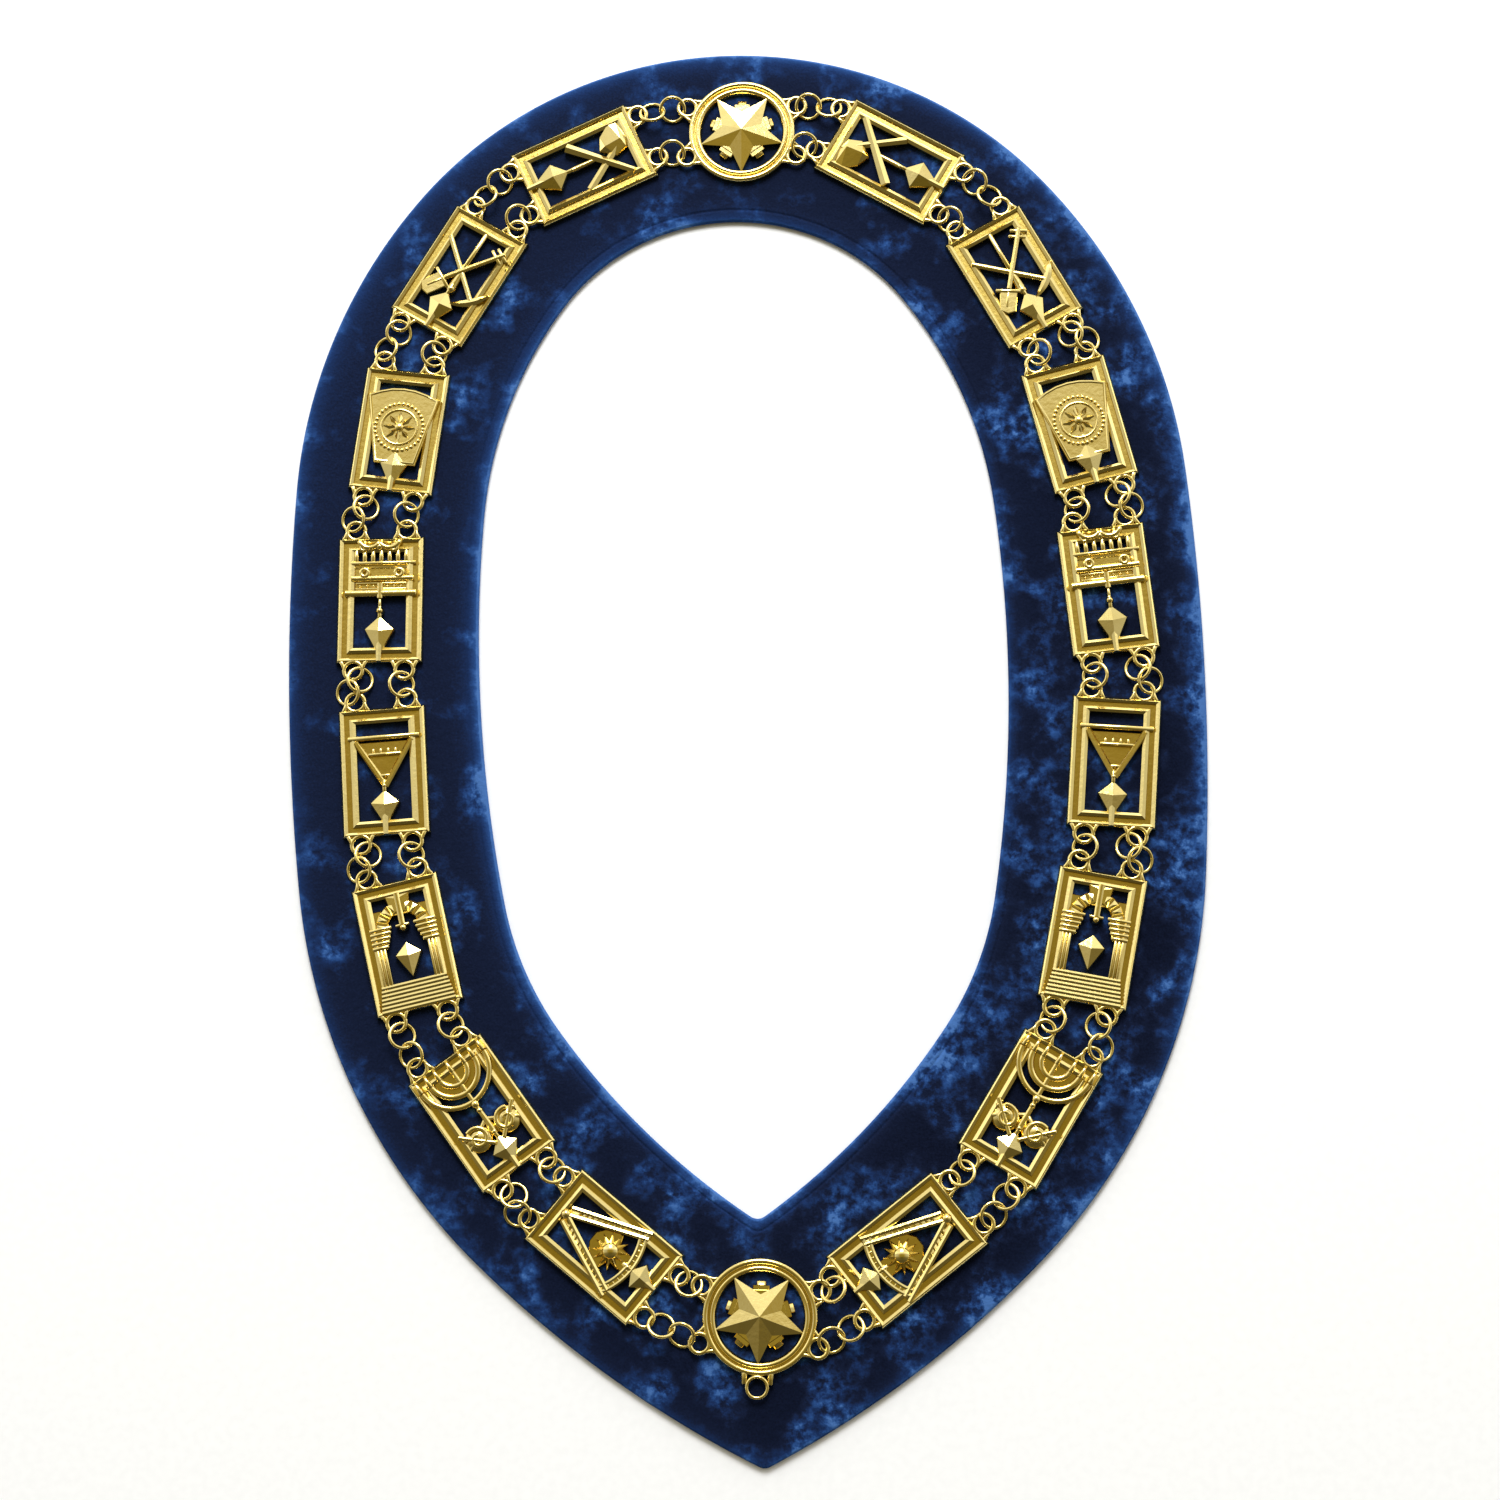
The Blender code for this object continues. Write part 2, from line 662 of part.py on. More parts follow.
def two_rings(eye_a, eye_b, outward):
    """Centres and planes of two linked rings, zigzagging where the strand has slack."""
    span = eye_b - eye_a
    length = np.linalg.norm(span)
    along = span / length
    slack = length < 2 * RING_R + SLACK_LINK - 0.5
    link = SLACK_LINK if slack else TAUT_LINK
    cosine = (length**2 + 4 * RING_R**2 - link**2) / (4 * length * RING_R)
    swing = math.acos(min(cosine, 1))
    stretch = max(0, (length - 2 * RING_R - TAUT_LINK) / 2)
    arm = (RING_R + stretch) * (math.cos(swing) * along - math.sin(swing) * outward)
    first, second = eye_a + arm, eye_b - arm
    lug_line = (LUG_OUTER + LUG_HOLE) / 2
    rows, wanted = [], []
    for point, height in zip(crossings(first, RING_R, eye_a, lug_line, outward), (1, -1)):
        rows.append([*(point - first), 1, 0, 0, 0])
        wanted.append(height * LUG_CLEAR)
    for point, height in zip(crossings(second, RING_R, eye_b, lug_line, outward), (-1, 1)):
        rows.append([0, 0, 0, *(point - second), 1])
        wanted.append(height * LUG_CLEAR)
    if slack:
        for point, height in zip(crossings(first, RING_R, second, RING_R, outward), (1, -1)):
            rows.append([*(point - first), 1, *(second - point), -1])
            wanted.append(height * LINK_LAP)
    else:
        middle = (first + second) / 2
        rows.append([*(middle - first), 1, 0, 0, 0])
        rows.append([0, 0, 0, *(middle - second), 1])
        wanted += [0, 0]
    planes = np.linalg.lstsq(np.array(rows), np.array(wanted), rcond=None)[0]
    return [(first, planes[:3]), (second, planes[3:])]


def ring_mesh(centre, plane, radius=RING_R, start=0.0):
    """A ring of wire with few sides, resting on the velvet where it would sink in."""
    points = []
    for k in range(RING_SIDES):
        angle = start + 2 * math.pi * k / RING_SIDES
        way = np.array([math.cos(angle), math.sin(angle)])
        for out, up in WIRE_CORNERS:
            flat = centre + (radius * 1.03 + out * WIRE_R) * way
            height = LUG_MID + plane[:2] @ (radius * way) + plane[2]
            height = max(height, RING_FLOOR) + up * WIRE_R
            points.append((flat[0], flat[1], height))
    corners = len(WIRE_CORNERS)
    faces = []
    for k in range(RING_SIDES):
        m = (k + 1) % RING_SIDES
        for i in range(corners):
            j = (i + 1) % corners
            faces.append((corners * k + i, corners * m + i, corners * m + j, corners * k + j))
    return mesh_of("ring", points, faces)


def strands(where):
    """Every short strand of rings: its name and the two eyelets that it joins."""
    plate, medallion = plate_lugs(), medallion_lugs()
    for side in ("left", "right"):
        other = "right" if side == "left" else "left"
        for lane, plate_side in (("outer", side), ("inner", other)):
            for gap in range(PLATES_A_SIDE + 1):
                if gap == 0:
                    end = "upper" if lane == "outer" else "lower"
                    start = eye(where["nape"], medallion[end, side])
                else:
                    start = eye(where[side, gap - 1], plate["bottom", plate_side])
                if gap == PLATES_A_SIDE:
                    end = "lower" if lane == "outer" else "upper"
                    finish = eye(where["front"], medallion[end, side])
                else:
                    finish = eye(where[side, gap], plate["top", plate_side])
                along = (finish - start) / np.linalg.norm(finish - start)
                outward = np.array([-along[1], along[0]]) * (-1 if side == "left" else 1)
                yield f"{side}_{lane}_strand_{gap + 1}", lane, start, finish, outward


clear_scene()
velvet = material("navy_velvet", (0.01, 0.02, 0.09), 0, 0.9)
gilt = material("gilt_brass", (0.80, 0.58, 0.16), 1, 0.25)

add("velvet_backing", backing_mesh(), velvet)

where = seats()
add("nape_medallion", medallion_mesh("nape_medallion", False), gilt, where["nape"])
add("front_medallion", medallion_mesh("front_medallion", True), gilt, where["front"])

for k, (title, design) in enumerate(DESIGNS):
    castings = [frame()] + [lug(*row) for row in plate_lugs().values()] + design()
    mesh = united(title, castings)
    for side in ("left", "right"):
        add(f"{side}_plate_{k + 1}_{title}", mesh, gilt, where[side, k])

for name, lane, start, finish, outward in strands(where):
    if lane == "outer":
        rings = two_rings(start, finish, outward)
    else:
        rings = one_ring(start, finish, outward)
    way = rings[-1][0] - rings[0][0] if lane == "outer" else finish - start
    meshes = [
        ring_mesh(centre, plane, RING_R, math.atan2(way[1], way[0]) + 0.20 * (k + 1))
        for k, (centre, plane) in enumerate(rings)
    ]
    add(name, united(name, meshes) if len(meshes) > 1 else meshes[0], gilt)

jewel = where["front"] @ Matrix.Translation((0, -MM * JEWEL_RING_Y, 0))
jewel_at = np.array(jewel.translation[:2]) / MM
flat = np.array([0.0, 0.0, RING_FLOOR + 0.4 - LUG_MID])
add("jewel_ring", ring_mesh(jewel_at, flat, JEWEL_RING_R, math.pi / 8), gilt)
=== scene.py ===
"""A chain of office: gilt castings joined by jump rings, laid out on a crushed velvet collar."""

import math

import bmesh
import bpy
import numpy as np
from mathutils import Matrix, Vector


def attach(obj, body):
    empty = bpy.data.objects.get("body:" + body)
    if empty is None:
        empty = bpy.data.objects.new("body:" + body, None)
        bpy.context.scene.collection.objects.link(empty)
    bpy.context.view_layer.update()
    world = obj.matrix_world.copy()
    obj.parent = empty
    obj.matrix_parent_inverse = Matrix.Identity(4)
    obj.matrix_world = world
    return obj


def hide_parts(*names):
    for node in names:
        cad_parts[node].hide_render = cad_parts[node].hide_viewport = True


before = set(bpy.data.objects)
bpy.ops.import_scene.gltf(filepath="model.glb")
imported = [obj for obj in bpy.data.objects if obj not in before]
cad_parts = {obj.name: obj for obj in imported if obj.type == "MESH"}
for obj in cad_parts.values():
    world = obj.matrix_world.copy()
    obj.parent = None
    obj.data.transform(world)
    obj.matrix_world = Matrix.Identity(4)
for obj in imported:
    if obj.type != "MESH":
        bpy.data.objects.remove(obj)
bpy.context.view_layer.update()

# ------------------------------------------------------------------ the velvet collar
# One flat loop of crushed-pile velvet over a stiff interlining, open for the neck and
# brought to a point in front. Its hems are turned in and pressed round both edges.

MM = 0.001
SAME_POINT = 2e-5
VELVET_THICK = 2.6
VELVET_SWELL, SWELL_SOFT, RIPPLE_HIGH = 0.3, 3.5, 0.07
HEM_WIDE, HEM_HALF, HEM_DEEP = 5.0, 0.55, 0.4
# How far in from an edge the painted rim sheen reaches, and the way an edge must face to take the most of it.
GLOW_REACH, GLOW_SIDE = 3.6, (0.33, 0.26)
COLLAR_MIDDLE = np.array([-0.70, 9.985])
COLLAR_LEAN = 0.0185
HALF_STATIONS, CLOSING_UP = 440, 1.3

# Each line of arcs runs from the nape down the left side to the point: (radius, turn).
OUTER_APEX_Y = 309.0
OUTER_EDGE = ((176, 49.1), (228, 36.5), (998, 9.9), (248, 39.9), (440, 17.95), (4.5, 26.65))
INNER_APEX_Y = 232.2
INNER_EDGE = ((90, 53.6), (184, 30.7), (600, 16.1), (133, 24.4), (300, 20.62), (5.0, 34.58))


def along_arcs(apex_y, arcs, distance):
    """Points and headings at distances along a line of arcs from (0, apex_y), heading left.

    On each arc the heading grows by distance / radius, and the point is the arc's
    centre + radius * (sin heading, -cos heading).
    """
    radius = np.array([arc[0] for arc in arcs], float)
    turn = np.radians([arc[1] for arc in arcs])
    heading = math.pi + np.concatenate([[0], np.cumsum(turn)])
    begins = np.concatenate([[0], np.cumsum(radius * turn)])
    side = np.stack([np.sin(heading), -np.cos(heading)], axis=1)
    joints = np.cumsum(radius[:, None] * np.diff(side, axis=0), axis=0)
    corner = np.array([0.0, apex_y]) + np.vstack([[[0, 0]], joints[:-1]])
    centre = corner - radius[:, None] * side[:-1]
    k = np.clip(np.searchsorted(begins, distance, side="right") - 1, 0, len(arcs) - 1)
    angle = heading[k] + (distance - begins[k]) / radius[k]
    way = np.stack([np.sin(angle), -np.cos(angle)], axis=-1)
    return centre[k] + radius[k, None] * way, angle


def leaned(points):
    """The same points on the collar as it lies, a little askew, about its own middle."""
    lean = np.stack([COLLAR_LEAN * points[..., 1], 0 * points[..., 1]], axis=-1)
    return points - lean - COLLAR_MIDDLE


def whole_edge(apex_y, arcs):
    """Points round a whole edge: down the left side, closest at the point, and back up."""
    length = sum(radius * math.radians(turn) for radius, turn in arcs)
    share = 1 - (1 - np.linspace(0, 1, HALF_STATIONS + 1)) ** CLOSING_UP
    left = along_arcs(apex_y, arcs, share * length)[0]
    return leaned(np.vstack([left, left[-2:0:-1] * (-1, 1)]))


def grid(points, round_rows, round_columns):
    """The points of a closed form laid out in rows and columns, and its quads facing outward.

    The form's signed volume, summed over the quads' triangles, says whether to turn them.
    """
    index = np.arange(points.shape[0] * points.shape[1]).reshape(points.shape[:2])
    if round_rows:
        index = np.vstack([index, index[:1]])
    if round_columns:
        index = np.hstack([index, index[:, :1]])
    quads = np.stack([index[:-1, :-1], index[1:, :-1], index[1:, 1:], index[:-1, 1:]], axis=-1)
    quads = quads.reshape(-1, 4)
    flat = points.reshape(-1, 3)
    a, b, c, d = (flat[quads[:, k]] for k in range(4))
    volume = (a * np.cross(b, c)).sum() + (a * np.cross(c, d)).sum()
    return flat, quads[:, ::-1] if volume < 0 else quads


def make_piece(name, forms, surface, crease=40):
    """One object from closed forms in millimetres: (points, quads, smooth) each.

    Coincident points, as at a pole, are merged. Flat facets stay flat, and on a smooth
    form an edge sharper than the crease stays sharp.
    """
    counts = np.cumsum([0] + [len(form[0]) for form in forms])
    points = np.concatenate([form[0] for form in forms]) * MM
    quads = np.concatenate([form[1] + start for form, start in zip(forms, counts)])
    smooth = np.concatenate([np.full(len(form[1]), form[2]) for form in forms])
    mesh = bpy.data.meshes.new(name)
    mesh.from_pydata(points.tolist(), [], quads.tolist())
    mesh.polygons.foreach_set("use_smooth", smooth)
    work = bmesh.new()
    work.from_mesh(mesh)
    bmesh.ops.remove_doubles(work, verts=work.verts, dist=SAME_POINT * MM)
    work.to_mesh(mesh)
    work.free()
    smooth = np.empty(len(mesh.polygons), bool)
    mesh.polygons.foreach_get("use_smooth", smooth)
    mesh.set_sharp_from_angle(angle=math.radians(crease))
    mesh.polygons.foreach_set("use_smooth", smooth)
    mesh.materials.append(surface)
    piece = bpy.data.objects.new(name, mesh)
    bpy.context.scene.collection.objects.link(piece)
    return piece


def velvet_form():
    """The collar's surface, and the painted sheen at each of its points near a folded edge.

    Across the band it runs round the outer rim as a half circle, over the top, round the
    inner rim and back underneath. Height on top = thickness + a soft swell between the
    edges - the pressed hem line + low ripples, which are sines of the position. The painted
    sheen falls off exponentially from an edge, and is painted stronger where the edge faces
    the light, toward the nape and the right.
    """
    outer = whole_edge(OUTER_APEX_Y, OUTER_EDGE)
    inner = whole_edge(INNER_APEX_Y, INNER_EDGE)
    wide = np.linalg.norm(inner - outer, axis=1)
    inward = (inner - outer) / wide[:, None]

    # Each stretch across the band: share of its width, offset from there and height.
    rim, margin = VELVET_THICK / 2, 9.0
    round_rim = np.radians(np.linspace(-90, 90, 11))
    set_in, rise = rim - rim * np.cos(round_rim), rim + rim * np.sin(round_rim)
    over, under = np.linspace(0, 1, 18)[1:-1], np.linspace(1, 0, 7)[1:-1]
    stretches = (
        (0, set_in, rise),
        (0, np.linspace(rim, margin, 9)[1:], VELVET_THICK),
        (over, margin - 2 * margin * over, VELVET_THICK),
        (1, -np.linspace(margin, rim, 26), VELVET_THICK),
        (1, -set_in[::-1][1:], rise[::-1][1:]),
        (under, rim - 2 * rim * under, 0),
    )
    share, offset, level = np.hstack([np.stack(np.broadcast_arrays(*row)) for row in stretches])
    across = share * wide[:, None] + offset
    place = outer[:, None, :] + across[..., None] * inward[:, None, :]

    on_top = np.isclose(level, VELVET_THICK)
    from_outer, from_inner = across, wide[:, None] - across
    swell = 1 - np.exp((rim - from_outer) / SWELL_SOFT)
    swell = swell * (1 - np.exp((rim - from_inner) / SWELL_SOFT))
    pressed = np.exp(-(((from_inner - HEM_WIDE) / HEM_HALF) ** 2))
    x, y = place[..., 0], place[..., 1]
    ripple = np.sin(x / 7.3 + 1.7 * np.sin(y / 19)) * np.sin(y / 9.1 + 1.3 * np.sin(x / 23))
    raised = VELVET_SWELL * swell - HEM_DEEP * pressed + RIPPLE_HIGH * swell * ripple
    height = level + on_top * raised
    points = np.concatenate([place, height[..., None]], axis=-1)
    # Painted sheen along the rims: it fades in from each edge on top, covers the rounded rims and the
    # underside, and is stronger where the edge faces the light.
    facing = np.where(from_outer < from_inner, -1, 1) * (inward @ GLOW_SIDE)[:, None]
    near_edge = np.exp(-np.minimum(from_outer, from_inner) / GLOW_REACH)
    painted_rim_sheen = (1 + facing) * np.where(on_top, near_edge, 1)
    return (*grid(points, True, True), True), painted_rim_sheen.ravel()


def fill(tree, made, inputs):
    """Sets a node's inputs, each given as a value or another node's output."""
    for name, value in inputs.items():
        if isinstance(value, bpy.types.NodeSocket):
            tree.links.new(value, made.inputs[name])
        else:
            made.inputs[name].default_value = value


def node(tree, kind, inputs, **settings):
    """A new shader node with its settings and its inputs."""
    made = tree.nodes.new(kind)
    for name, value in settings.items():
        setattr(made, name, value)
    fill(tree, made, inputs)
    return made


def maths(tree, operation, *inputs, **settings):
    """The result of one arithmetic operation on values or other nodes' outputs."""
    made = node(tree, "ShaderNodeMath", dict(enumerate(inputs)), operation=operation, **settings)
    return made.outputs[0]


def rescaled(tree, value, start, end, low=0.0, high=1.0, **settings):
    """The value with start to end stretched to low to high, and held there beyond."""
    inputs = {"Value": value, "From Min": start, "From Max": end, "To Min": low, "To Max": high}
    return node(tree, "ShaderNodeMapRange", inputs, **settings).outputs["Result"]


def noise(tree, place, scale, detail=2.0, rough=0.5, distortion=0.0):
    """Cloudy noise over a place, finer as its scale grows and busier with more detail."""
    inputs = {"Vector": place, "Scale": scale, "Detail": detail, "Roughness": rough, "Distortion": distortion}
    return node(tree, "ShaderNodeTexNoise", inputs).outputs["Fac"]


def ramp(tree, factor, stops):
    """A colour ramp through (position, colour) stops, where a grey is a single number."""
    made = node(tree, "ShaderNodeValToRGB", {"Fac": factor})
    line = made.color_ramp.elements
    while len(line) < len(stops):
        line.new(0.5)
    for element, (position, colour) in zip(line, stops):
        element.position = position
        element.color = (*np.broadcast_to(colour, 3), 1)
    return made.outputs["Color"]


def new_material(name):
    """A material, its shader tree and the shader of its surface."""
    made = bpy.data.materials.new(name)
    made.use_nodes = True
    return made, made.node_tree, made.node_tree.nodes["Principled BSDF"]


def crushed_velvet():
    """Navy velvet whose pile shows royal blue as painted sheen where it is crushed and along its folded
    edges.

    Broad noise says where it is crushed, finer noise gives the flecks of painted sheen
    there, and the finest is the pile itself. Toward the right side and the front, painted
    light shows more flecks over a darker ground.
    """
    made, tree, cloth = new_material("crushed_navy_velvet")
    place = node(tree, "ShaderNodeTexCoord", {}).outputs["Object"]
    # The painted sheen along the edges, carried on the mesh.
    folded = node(tree, "ShaderNodeAttribute", {}, attribute_name="painted_rim_sheen").outputs["Fac"]
    crushed = noise(tree, place, 44.0, 3.0, 0.55, 0.2)
    flecks = noise(tree, place, 210.0, 3.0, 0.62)
    pile = noise(tree, place, 1100.0, 2.0, 0.6)
    spot = node(tree, "ShaderNodeSeparateXYZ", {"Vector": place}).outputs
    # Painted light by place, stronger toward the right side and the front.
    lit_side = rescaled(tree, spot["X"], -0.17, 0.19, -0.065, 0.045)
    lit_end = rescaled(tree, spot["Y"], -0.30, 0.30, 0.04, -0.05)
    lit = maths(tree, "ADD", lit_end, lit_side)
    spread = rescaled(tree, maths(tree, "ADD", crushed, lit), 0.43, 0.68)
    bright = rescaled(tree, flecks, 0.38, 0.66, 0.1)
    turned = maths(tree, "MULTIPLY", spread, bright)
    # The ground darkens where the painted light is strong. Then the painted sheen of the crushed flecks and
    # of the edges, and the pile's own grain, brighten it.
    glow = maths(tree, "MULTIPLY_ADD", lit, -1.2, 0.04)
    for share, strength in ((turned, 0.95), (folded, 0.52), (pile, 0.24)):
        glow = maths(tree, "MULTIPLY_ADD", share, strength, glow)
    colour = ramp(
        tree,
        glow,
        (
            (0.08, (0.0032, 0.0050, 0.0150)),
            (0.26, (0.0068, 0.0115, 0.0340)),
            (0.50, (0.0105, 0.0290, 0.1050)),
            (0.76, (0.0210, 0.0680, 0.2300)),
            (1.0, (0.0560, 0.1450, 0.3900)),
        ),
    )
    relief = maths(tree, "MULTIPLY_ADD", pile, 0.25, flecks)
    bumps = node(tree, "ShaderNodeBump", {"Height": relief, "Strength": 0.6, "Distance": 0.001})
    fill(
        tree,
        cloth,
        {
            "Base Color": colour,
            "Normal": bumps.outputs["Normal"],
            "Roughness": 0.9,
            "Specular IOR Level": 0.03,
            "Sheen Weight": 0.12,
            "Sheen Roughness": 0.4,
            "Sheen Tint": (0.12, 0.32, 1.0, 1.0),
        },
    )
    return made


collar_form, painted_rim_sheen = velvet_form()
velvet = make_piece("velvet_collar", [collar_form], crushed_velvet(), crease=180)
velvet.data.attributes.new("painted_rim_sheen", "FLOAT", "POINT").data.foreach_set("value", painted_rim_sheen)
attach(velvet, "root")
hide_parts("velvet_backing")

# ------------------------------------------------------------------ the plates
# Eight pierced castings a side in gilt brass, each a moulded frame round a design over a
# trowel that points to the front, with four eyelets. They are sewn down by their frames.

CHAIN_APEX_Y = 274.9
CHAIN_LINE = ((137, 52.2), (181, 27.1), (560, 22.6), (222, 47.0), (86, 30.0))
FIRST_PITCH, PITCH = 68.5, 73.86
LINE_LENGTH = 2 * FIRST_PITCH + 7 * PITCH
NAPE_SLIP = 6.6
SEAT_Z = 2.9
PLATE_WIDE, PLATE_TALL = 36.5, 54.3
EYELET_OFFSET, EYELET_REACH = 10.8, 3.15
EYELET_R, EYELET_MIDDLE = 3.85, 2.2
EYELET_HALF_WIDE, EYELET_HALF_HIGH = 0.90, 0.70
END_BEVEL = 0.25

# How each plate was sewn: turned off the line in degrees, slid along it and aside in millimetres.
SEWING = {
    "left": (
        (-3.3, 1.6, 0.9),
        (0.7, 0.9, -0.3),
        (1.5, 0.4, 0.5),
        (1.4, 0.3, 0.7),
        (-2.6, -0.6, 0.8),
        (-1.3, -1.6, -0.8),
        (2.2, -0.1, 0.3),
        (-2.2, -1.0, 0.4),
    ),
    "right": (
        (-0.6, -0.7, 0.1),
        (-2.6, 2.1, -1.0),
        (2.9, 0.3, 0.1),
        (2.0, -0.3, 0.6),
        (-0.8, -0.5, 0.9),
        (1.1, -0.5, -0.2),
        (0.4, 0.3, 0.8),
        (-0.4, 2.4, 0.2),
    ),
}


def seat(side, distance):
    """Middle and turn of a casting at a distance from the nape along the line of the chain."""
    slip = NAPE_SLIP * (1 - distance / LINE_LENGTH) ** 2
    reached = distance + (-slip if side == "left" else slip)
    point, heading = along_arcs(CHAIN_APEX_Y, CHAIN_LINE, np.array([reached]))
    way = np.array([math.cos(heading[0]), math.sin(heading[0])])
    if side == "right":
        point, way = point * (-1, 1), way * (-1, 1)
    x, y = leaned(point)[0]
    return x, y, math.atan2(way[0] - COLLAR_LEAN * way[1], -way[1])


def placed(form, x, y, turn):
    """A casting's form turned about its middle and set down on the velvet."""
    c, s = math.cos(turn), math.sin(turn)
    spin = np.array([[c, s, 0], [-s, c, 0], [0, 0, 1]])
    return (form[0] @ spin + (x, y, SEAT_Z), *form[1:])


def mitred(path, closed):
    """At each point of a flat path, the sideways step that keeps an offset line parallel."""
    step = np.diff(np.vstack([path, path[:1]]) if closed else path, axis=0)
    step /= np.linalg.norm(step, axis=1)[:, None]
    if closed:
        before, after = np.roll(step, 1, axis=0), step
    else:
        before, after = np.vstack([step[:1], step]), np.vstack([step, step[-1:]])
    both = before + after
    across = np.stack([-both[:, 1], both[:, 0]], axis=1)
    return across / (1 + (before * after).sum(axis=1))[:, None], before, after


def moulding(path, section, closed=False, squeeze=(1, 1), taper=1):
    """A section carried along a flat path: path + offset * mitred side step, at its height.

    An open end steps in by a small bevel, then closes on the section's own middle.
    """
    path = np.asarray(path, float)
    across, before, after = mitred(path, closed)
    offset = section[None, :, :1] * np.broadcast_to(taper, len(path))[:, None, None]
    flat = path[:, None, :] + offset * (across * squeeze)[:, None, :]
    height = np.broadcast_to(section[None, :, 1:], (*flat.shape[:2], 1))
    rows = np.concatenate([flat, height], axis=2)
    if closed:
        return (*grid(rows, True, True), True)
    ends = []
    for row, way in ((rows[0], -before[0]), (rows[-1], after[-1])):
        middle = row.mean(axis=0)
        out = np.array([*way, 0]) * END_BEVEL
        stepped = middle + (row - middle) * (1 - END_BEVEL) + out
        ends.append((stepped, np.broadcast_to(middle + out, row.shape)))
    rows = np.concatenate([[ends[0][1], ends[0][0]], rows, [ends[1][0], ends[1][1]]])
    return (*grid(rows, False, True), True)


def mound(outline, steps, ridge, top, smooth=False):
    """A form raised on a flat outline: the outline at each (inset, height), then the ridge.

    Each outline point meets the ridge at the nearer of its two ends. Underneath, the form
    closes on its own middle.
    """
    outline = np.asarray(outline, float)
    x, y = outline.T
    if (x * np.roll(y, -1) - y * np.roll(x, -1)).sum() < 0:
        outline = outline[::-1]
    across = mitred(outline, True)[0]
    start, end = (np.asarray(p, float) for p in ridge)
    run = end - start
    share = ((outline - start) @ run > run @ run / 2).astype(float)
    rows = [(np.broadcast_to(outline.mean(axis=0), outline.shape), steps[0][1])]
    rows += [(outline + inset * across, height) for inset, height in steps]
    rows.append((start + share[:, None] * run, top))
    points = np.stack([np.column_stack([flat, np.full(len(flat), z)]) for flat, z in rows])
    return (*grid(points, False, True), smooth)


def rounded(wide, low, high):
    """Section of a rounded bar: upright sides under a low half ellipse.

    The ellipse rises by 0.36 of the width, but the sides keep a fifth of the height.
    """
    a = np.radians(np.linspace(0, 180, 9))
    spring = max(high - 0.36 * wide, low + 0.2 * (high - low))
    top = np.stack([wide / 2 * np.cos(a), spring + (high - spring) * np.sin(a)], axis=1)
    return np.vstack([[(wide / 2, low)], top, [(-wide / 2, low)]])


def squared(wide, low, high, bevel=0.3):
    """Section of a square bar with its upper edges bevelled."""
    half = wide / 2
    right = [(half, low), (half, high - bevel), (half - bevel, high)]
    return np.array(right + [(-x, z) for x, z in right[::-1]])


def ridged(wide, low, high):
    """Section of a bar with two slopes that meet in a ridge along its middle."""
    half, eaves = wide / 2, max(high - 0.26 * wide, low + 0.2)
    return np.array([(half, low), (half, eaves), (0, high), (-half, eaves), (-half, low)])


def arc(centre, radius, start, end, steps):
    """Points round an arc between two angles in degrees."""
    a = np.radians(np.linspace(start, end, steps + 1))
    return np.asarray(centre) + radius * np.stack([np.cos(a), np.sin(a)], axis=1)


def circle(centre, radius, count, start=0):
    """So many points evenly round a circle."""
    return arc(centre, radius, start, start + 360 * (count - 1) / count, count - 1)


def polar(radius, degrees, centre=(0, 0)):
    """The point at a radius and an angle round a centre."""
    return arc(centre, radius, degrees, degrees, 0)[0]


def at(u, v):
    """A point of the plate from shares of its width, from the left, and height, from the top."""
    return np.array([(u - 0.5) * PLATE_WIDE, (0.5 - v) * PLATE_TALL])


def outlined(*pairs):
    """An outline from its corners' shares of the plate."""
    return np.array([at(*pair) for pair in pairs])


def beside(side, *pairs):
    """Shares of the plate for points given by how far to one side of its middle they lie."""
    return [(0.5 + side * out, v) for out, v in pairs]


def bar(start, end, section, taper=1):
    """A straight bar of one section between two points of the plate."""
    return moulding([at(*start), at(*end)], section, taper=taper)


def ring(centre, radius, count, section):
    """A round band of one section."""
    return moulding(circle(centre, radius, count), section, closed=True)


def boss(centre, radius, low, high, sides=12):
    """A low round dome on a short upright side: circles that close in as cosine, rising as sine."""
    upright = 0.35
    steps = [(0, low)]
    for a in np.radians([0, 30, 60]):
        rise = upright + (1 - upright) * math.sin(a)
        steps.append((radius * (1 - math.cos(a)), low + (high - low) * rise))
    return mound(circle(centre, radius, sides), steps, (centre, centre), high, True)


def slab(pairs, low, high, bevel=0.35):
    """A flat plate of an outline in shares of the plate, its upper edge bevelled."""
    outline = outlined(*pairs)
    middle = outline.mean(axis=0)
    return mound(outline, [(0, low), (0, high - bevel), (bevel, high)], (middle, middle), high)


def plate_frame():
    """The frame: two ridged ribs with a narrow sunk channel between them, mitred."""
    section = np.array(
        [(0, 0), (0, 1.9), (0.2, 2.45), (1.25, 3.15), (2.3, 2.45), (2.5, 1.5), (4.4, 1.5)]
        + [(4.6, 2.4), (5.9, 3.2), (7.15, 2.4), (7.3, 1.2), (7.3, 0)]
    )
    x, y = PLATE_WIDE / 2, PLATE_TALL / 2
    corners = [(-x, -y), (x, -y), (x, y), (-x, y)]
    return moulding(corners, section, closed=True, squeeze=(1, 0.9))


